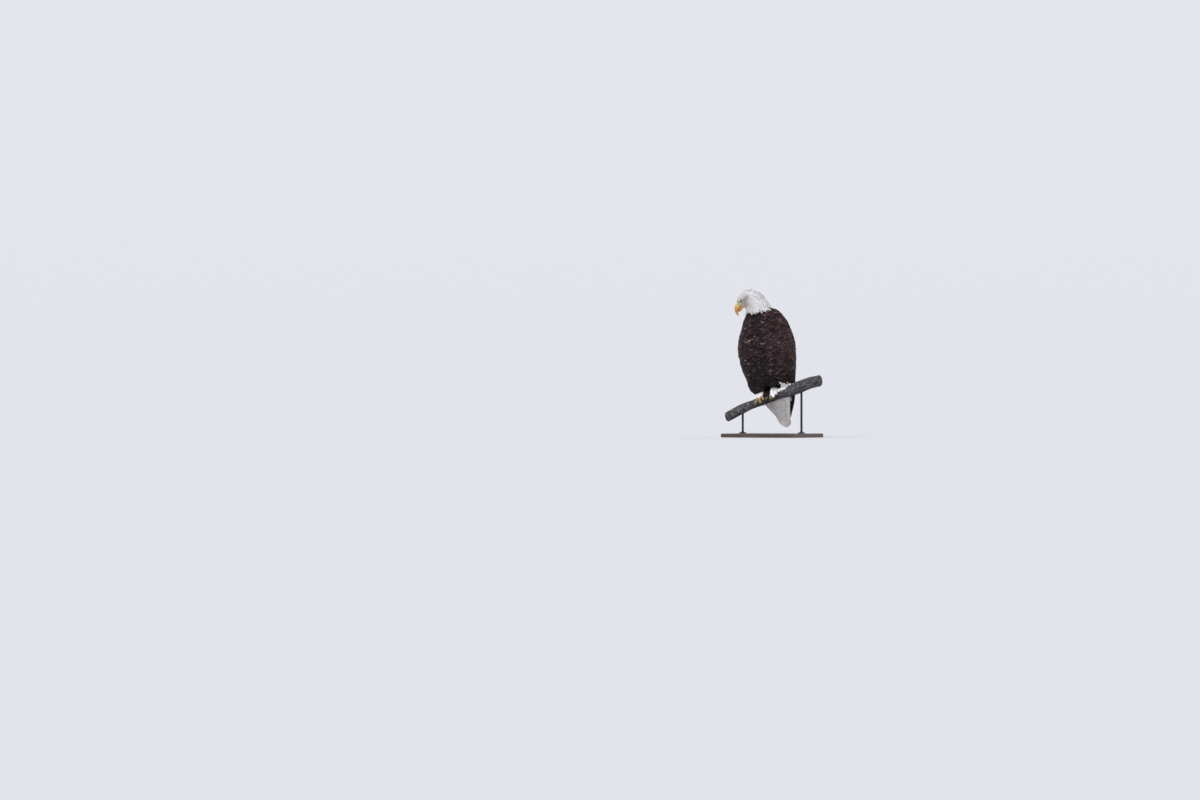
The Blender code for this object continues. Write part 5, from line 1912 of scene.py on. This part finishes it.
def bark_material():
    n = Nodes("bark")
    plates = n.noise(n.place((0.45, 1, 1)), 85.0, 9.0, 0.68, 0.8)
    veins = n.noise(n.place((0.35, 1, 1)), 120.0, 8.0, 0.62, 1.4)
    fine = n.noise(n.place((0.7, 1, 1)), 420.0, 5.0, 0.65)
    crack = n.ramp(n.math("ABSOLUTE", n.minus(veins, 0.5)), 0.0, 0.045)
    lichen = n.noise(n.place(), 42.0, 9.0, 0.72, 0.4)
    colour = n.mix(n.ramp(plates, 0.38, 0.62), (0.030, 0.027, 0.028), (0.155, 0.145, 0.148))
    colour = n.mix(n.times(n.ramp(fine, 0.48, 0.70), 0.7), colour, (0.22, 0.205, 0.205))
    colour = n.mix(n.times(n.ramp(crack, 1.0, 0.0), 0.60), colour, (0.012, 0.010, 0.010))
    pale = n.times(n.ramp(lichen, 0.55, 0.62), n.ramp(fine, 0.35, 0.55))
    colour = n.mix(n.times(pale, 0.80), colour, (0.38, 0.38, 0.36))
    rise = n.plus(n.times(crack, 0.5), n.plus(plates, n.times(fine, 0.6)))
    n.bump(rise, 1.0, 0.0040)
    return n.finish(colour, 0.92, Specular_IOR_Level=0.2)


BARK_DEPTH, CRACK_DEPTH, CRACK_WIDTH = 0.0012, 0.0011, 0.12
BRANCH_FLAT = 0.97  # its height over its depth from front to back


def perch():
    """The branch, with slow swellings, rough bark, and cracks that run along it."""
    first, last = BRANCH_LINE[0][0], BRANCH_LINE[-1][0]
    count, turn = 300, circle(96)
    share = np.linspace(0, 1, count)
    centre, along, radius = branch_at(first + (last - first) * share)
    up = -np.cross(BACK, along)
    swell = 0.0012 * np.sin(9.0 * share + 1.0) - 0.0008 * np.cos(23.0 * share)
    bark = np.empty((count, len(turn)))
    for i in range(count):
        for j, angle in enumerate(turn):
            where = Vector((share[i] * 7.0, cos(angle), sin(angle)))
            rough = noise.fractal(where * 2.2, 0.8, 2.1, 5) * BARK_DEPTH
            line = abs(noise.noise(Vector((where.x * 0.9, where.y * 4, where.z * 4))))
            bark[i, j] = rough - CRACK_DEPTH * max(0.0, CRACK_WIDTH - line) / CRACK_WIDTH
    size = ((radius + swell)[:, None] + bark)[..., None]
    turn = turn[None, :, None]
    rings = centre[:, None] + BACK * size * np.cos(turn) + up[:, None] * size * BRANCH_FLAT * np.sin(turn)
    finished(loft("perch_bark", rings), bark_material(), "bark", "perch")


def wood_material():
    n = Nodes("dark stained wood")
    grain = n.noise(n.place((1.2, 22, 22)), 9.0, 6.0, 0.6, 0.6)
    pore = n.noise(n.place((4, 160, 160)), 6.0, 3.0)
    colour = n.mix(n.ramp(grain, 0.3, 0.7), (0.030, 0.016, 0.009), (0.085, 0.046, 0.024))
    colour = n.mix(n.times(n.ramp(pore, 0.55, 0.7), 0.5), colour, (0.012, 0.007, 0.005))
    n.bump(n.plus(grain, n.times(pore, -0.5)), 0.15, 0.0006)
    return n.finish(colour, n.ramp(grain, 0.3, 0.7, 0.34, 0.46), Coat_Weight=0.25, Coat_Roughness=0.2)


def rod_material():
    n = Nodes("black rod")
    brushed = n.noise(n.place((1, 1, 0.05)), 900.0, 3.0)
    n.bump(brushed, 0.1, 0.0003)
    return n.finish((0.022, 0.022, 0.024), n.ramp(brushed, 0.3, 0.7, 0.30, 0.48), Metallic=0.85)


perch()
for name, material_of in (
    ("stand_base", wood_material),
    ("stand_rod_left", rod_material),
    ("stand_rod_right", rod_material),
):
    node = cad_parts[name]
    node.data.materials.clear()
    node.data.materials.append(material_of())

bpy.data.objects.remove(guide_object, do_unlink=True)


# ---- floor, light and camera ----------------------------------------------------------------------

SKY_COLOUR = (0.92, 0.93, 1.0)
HORIZON_LIGHT, ZENITH_LIGHT = 0.83, 0.93
SUNS = (  # name, azimuth, elevation, strength, width: a soft low sky, and the ground's own glow
    ("key", -12, 48, 1.10, 18),
    ("fill", 100, 30, 0.25, 50),
    ("rim", 205, 50, 0.45, 30),
    ("glow", 16, 3, 2.00, 50),
)
SKY_ON_FLOOR = HORIZON_LIGHT + (ZENITH_LIGHT - HORIZON_LIGHT) * 2 / 3
SUN_ON_FLOOR = sum(strength * sin(radians(elevation)) for _, _, elevation, strength, _ in SUNS) / pi
LOW_LIGHT = 1.033  # how much more a wide light near the horizon gives the floor than its middle does
FLOOR_WHITE = HORIZON_LIGHT / (SKY_ON_FLOOR + SUN_ON_FLOOR) / LOW_LIGHT  # hides the horizon


def floor_and_light():
    """A floor as bright as the sky at the horizon, a sky brighter at its top, and wide suns."""
    bpy.ops.mesh.primitive_plane_add(size=120, location=(0, 0, 0))
    floor = bpy.context.object
    floor.name = "floor"
    n = Nodes("pale floor")
    floor.data.materials.append(n.finish((FLOOR_WHITE,) * 3, 1.0, Specular_IOR_Level=0.0))
    floor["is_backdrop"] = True
    world = bpy.data.worlds.new("studio")
    bpy.context.scene.world = world
    world.use_nodes = True
    tree = world.node_tree
    background = tree.nodes["Background"]
    background.inputs["Color"].default_value = (*SKY_COLOUR, 1)
    where = tree.nodes.new("ShaderNodeTexCoord")
    parts = tree.nodes.new("ShaderNodeSeparateXYZ")
    rise = tree.nodes.new("ShaderNodeMapRange")
    tree.links.new(where.outputs["Generated"], parts.inputs[0])
    tree.links.new(parts.outputs["Z"], rise.inputs["Value"])
    rise.inputs["To Min"].default_value = HORIZON_LIGHT
    rise.inputs["To Max"].default_value = ZENITH_LIGHT
    tree.links.new(rise.outputs["Result"], background.inputs["Strength"])
    for name, azimuth, elevation, strength, width in SUNS:
        lamp = bpy.data.lights.new(name, "SUN")
        lamp.energy, lamp.angle, lamp.color = strength, radians(width), SKY_COLOUR
        holder = placed(name, lamp)
        turn, rise = radians(azimuth), radians(elevation)
        away = Vector((sin(turn) * cos(rise), -cos(turn) * cos(rise), sin(rise)))
        holder.location = Vector((0, 0, 0.45)) + away * 3.0
        holder.rotation_euler = (-away).to_track_quat("-Z", "Y").to_euler()


CAMERA_AZIMUTH, CAMERA_DISTANCE, CAMERA_HEIGHT = radians(32), 14.0, 0.12
SENSOR = 36
FRAME_WIDTH = 6.6  # how much the picture's width covers at the eagle, with its tree beside it
AIM_SIDEWAYS, AIM_HEIGHT = -0.93, 0.206


def camera():
    """Looks up a little at the eagle, which stands to the right in the picture."""
    made = placed("camera", bpy.data.cameras.new("camera"))
    right = Vector((cos(CAMERA_AZIMUTH), sin(CAMERA_AZIMUTH), 0))
    back = Vector((sin(CAMERA_AZIMUTH), -cos(CAMERA_AZIMUTH), 0))
    aim = Vector((GRIP[0], GRIP[1], 0)) + right * AIM_SIDEWAYS
    made.location = aim + back * CAMERA_DISTANCE + Vector((0, 0, CAMERA_HEIGHT))
    aim.z = AIM_HEIGHT
    made.rotation_euler = (aim - made.location).to_track_quat("-Z", "Y").to_euler()
    made.data.sensor_width = SENSOR
    made.data.lens = SENSOR * CAMERA_DISTANCE / FRAME_WIDTH
    made.data.clip_end = 200
    bpy.context.scene.camera = made


floor_and_light()
camera()
bpy.context.scene.view_settings.view_transform = "Standard"

low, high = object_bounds()
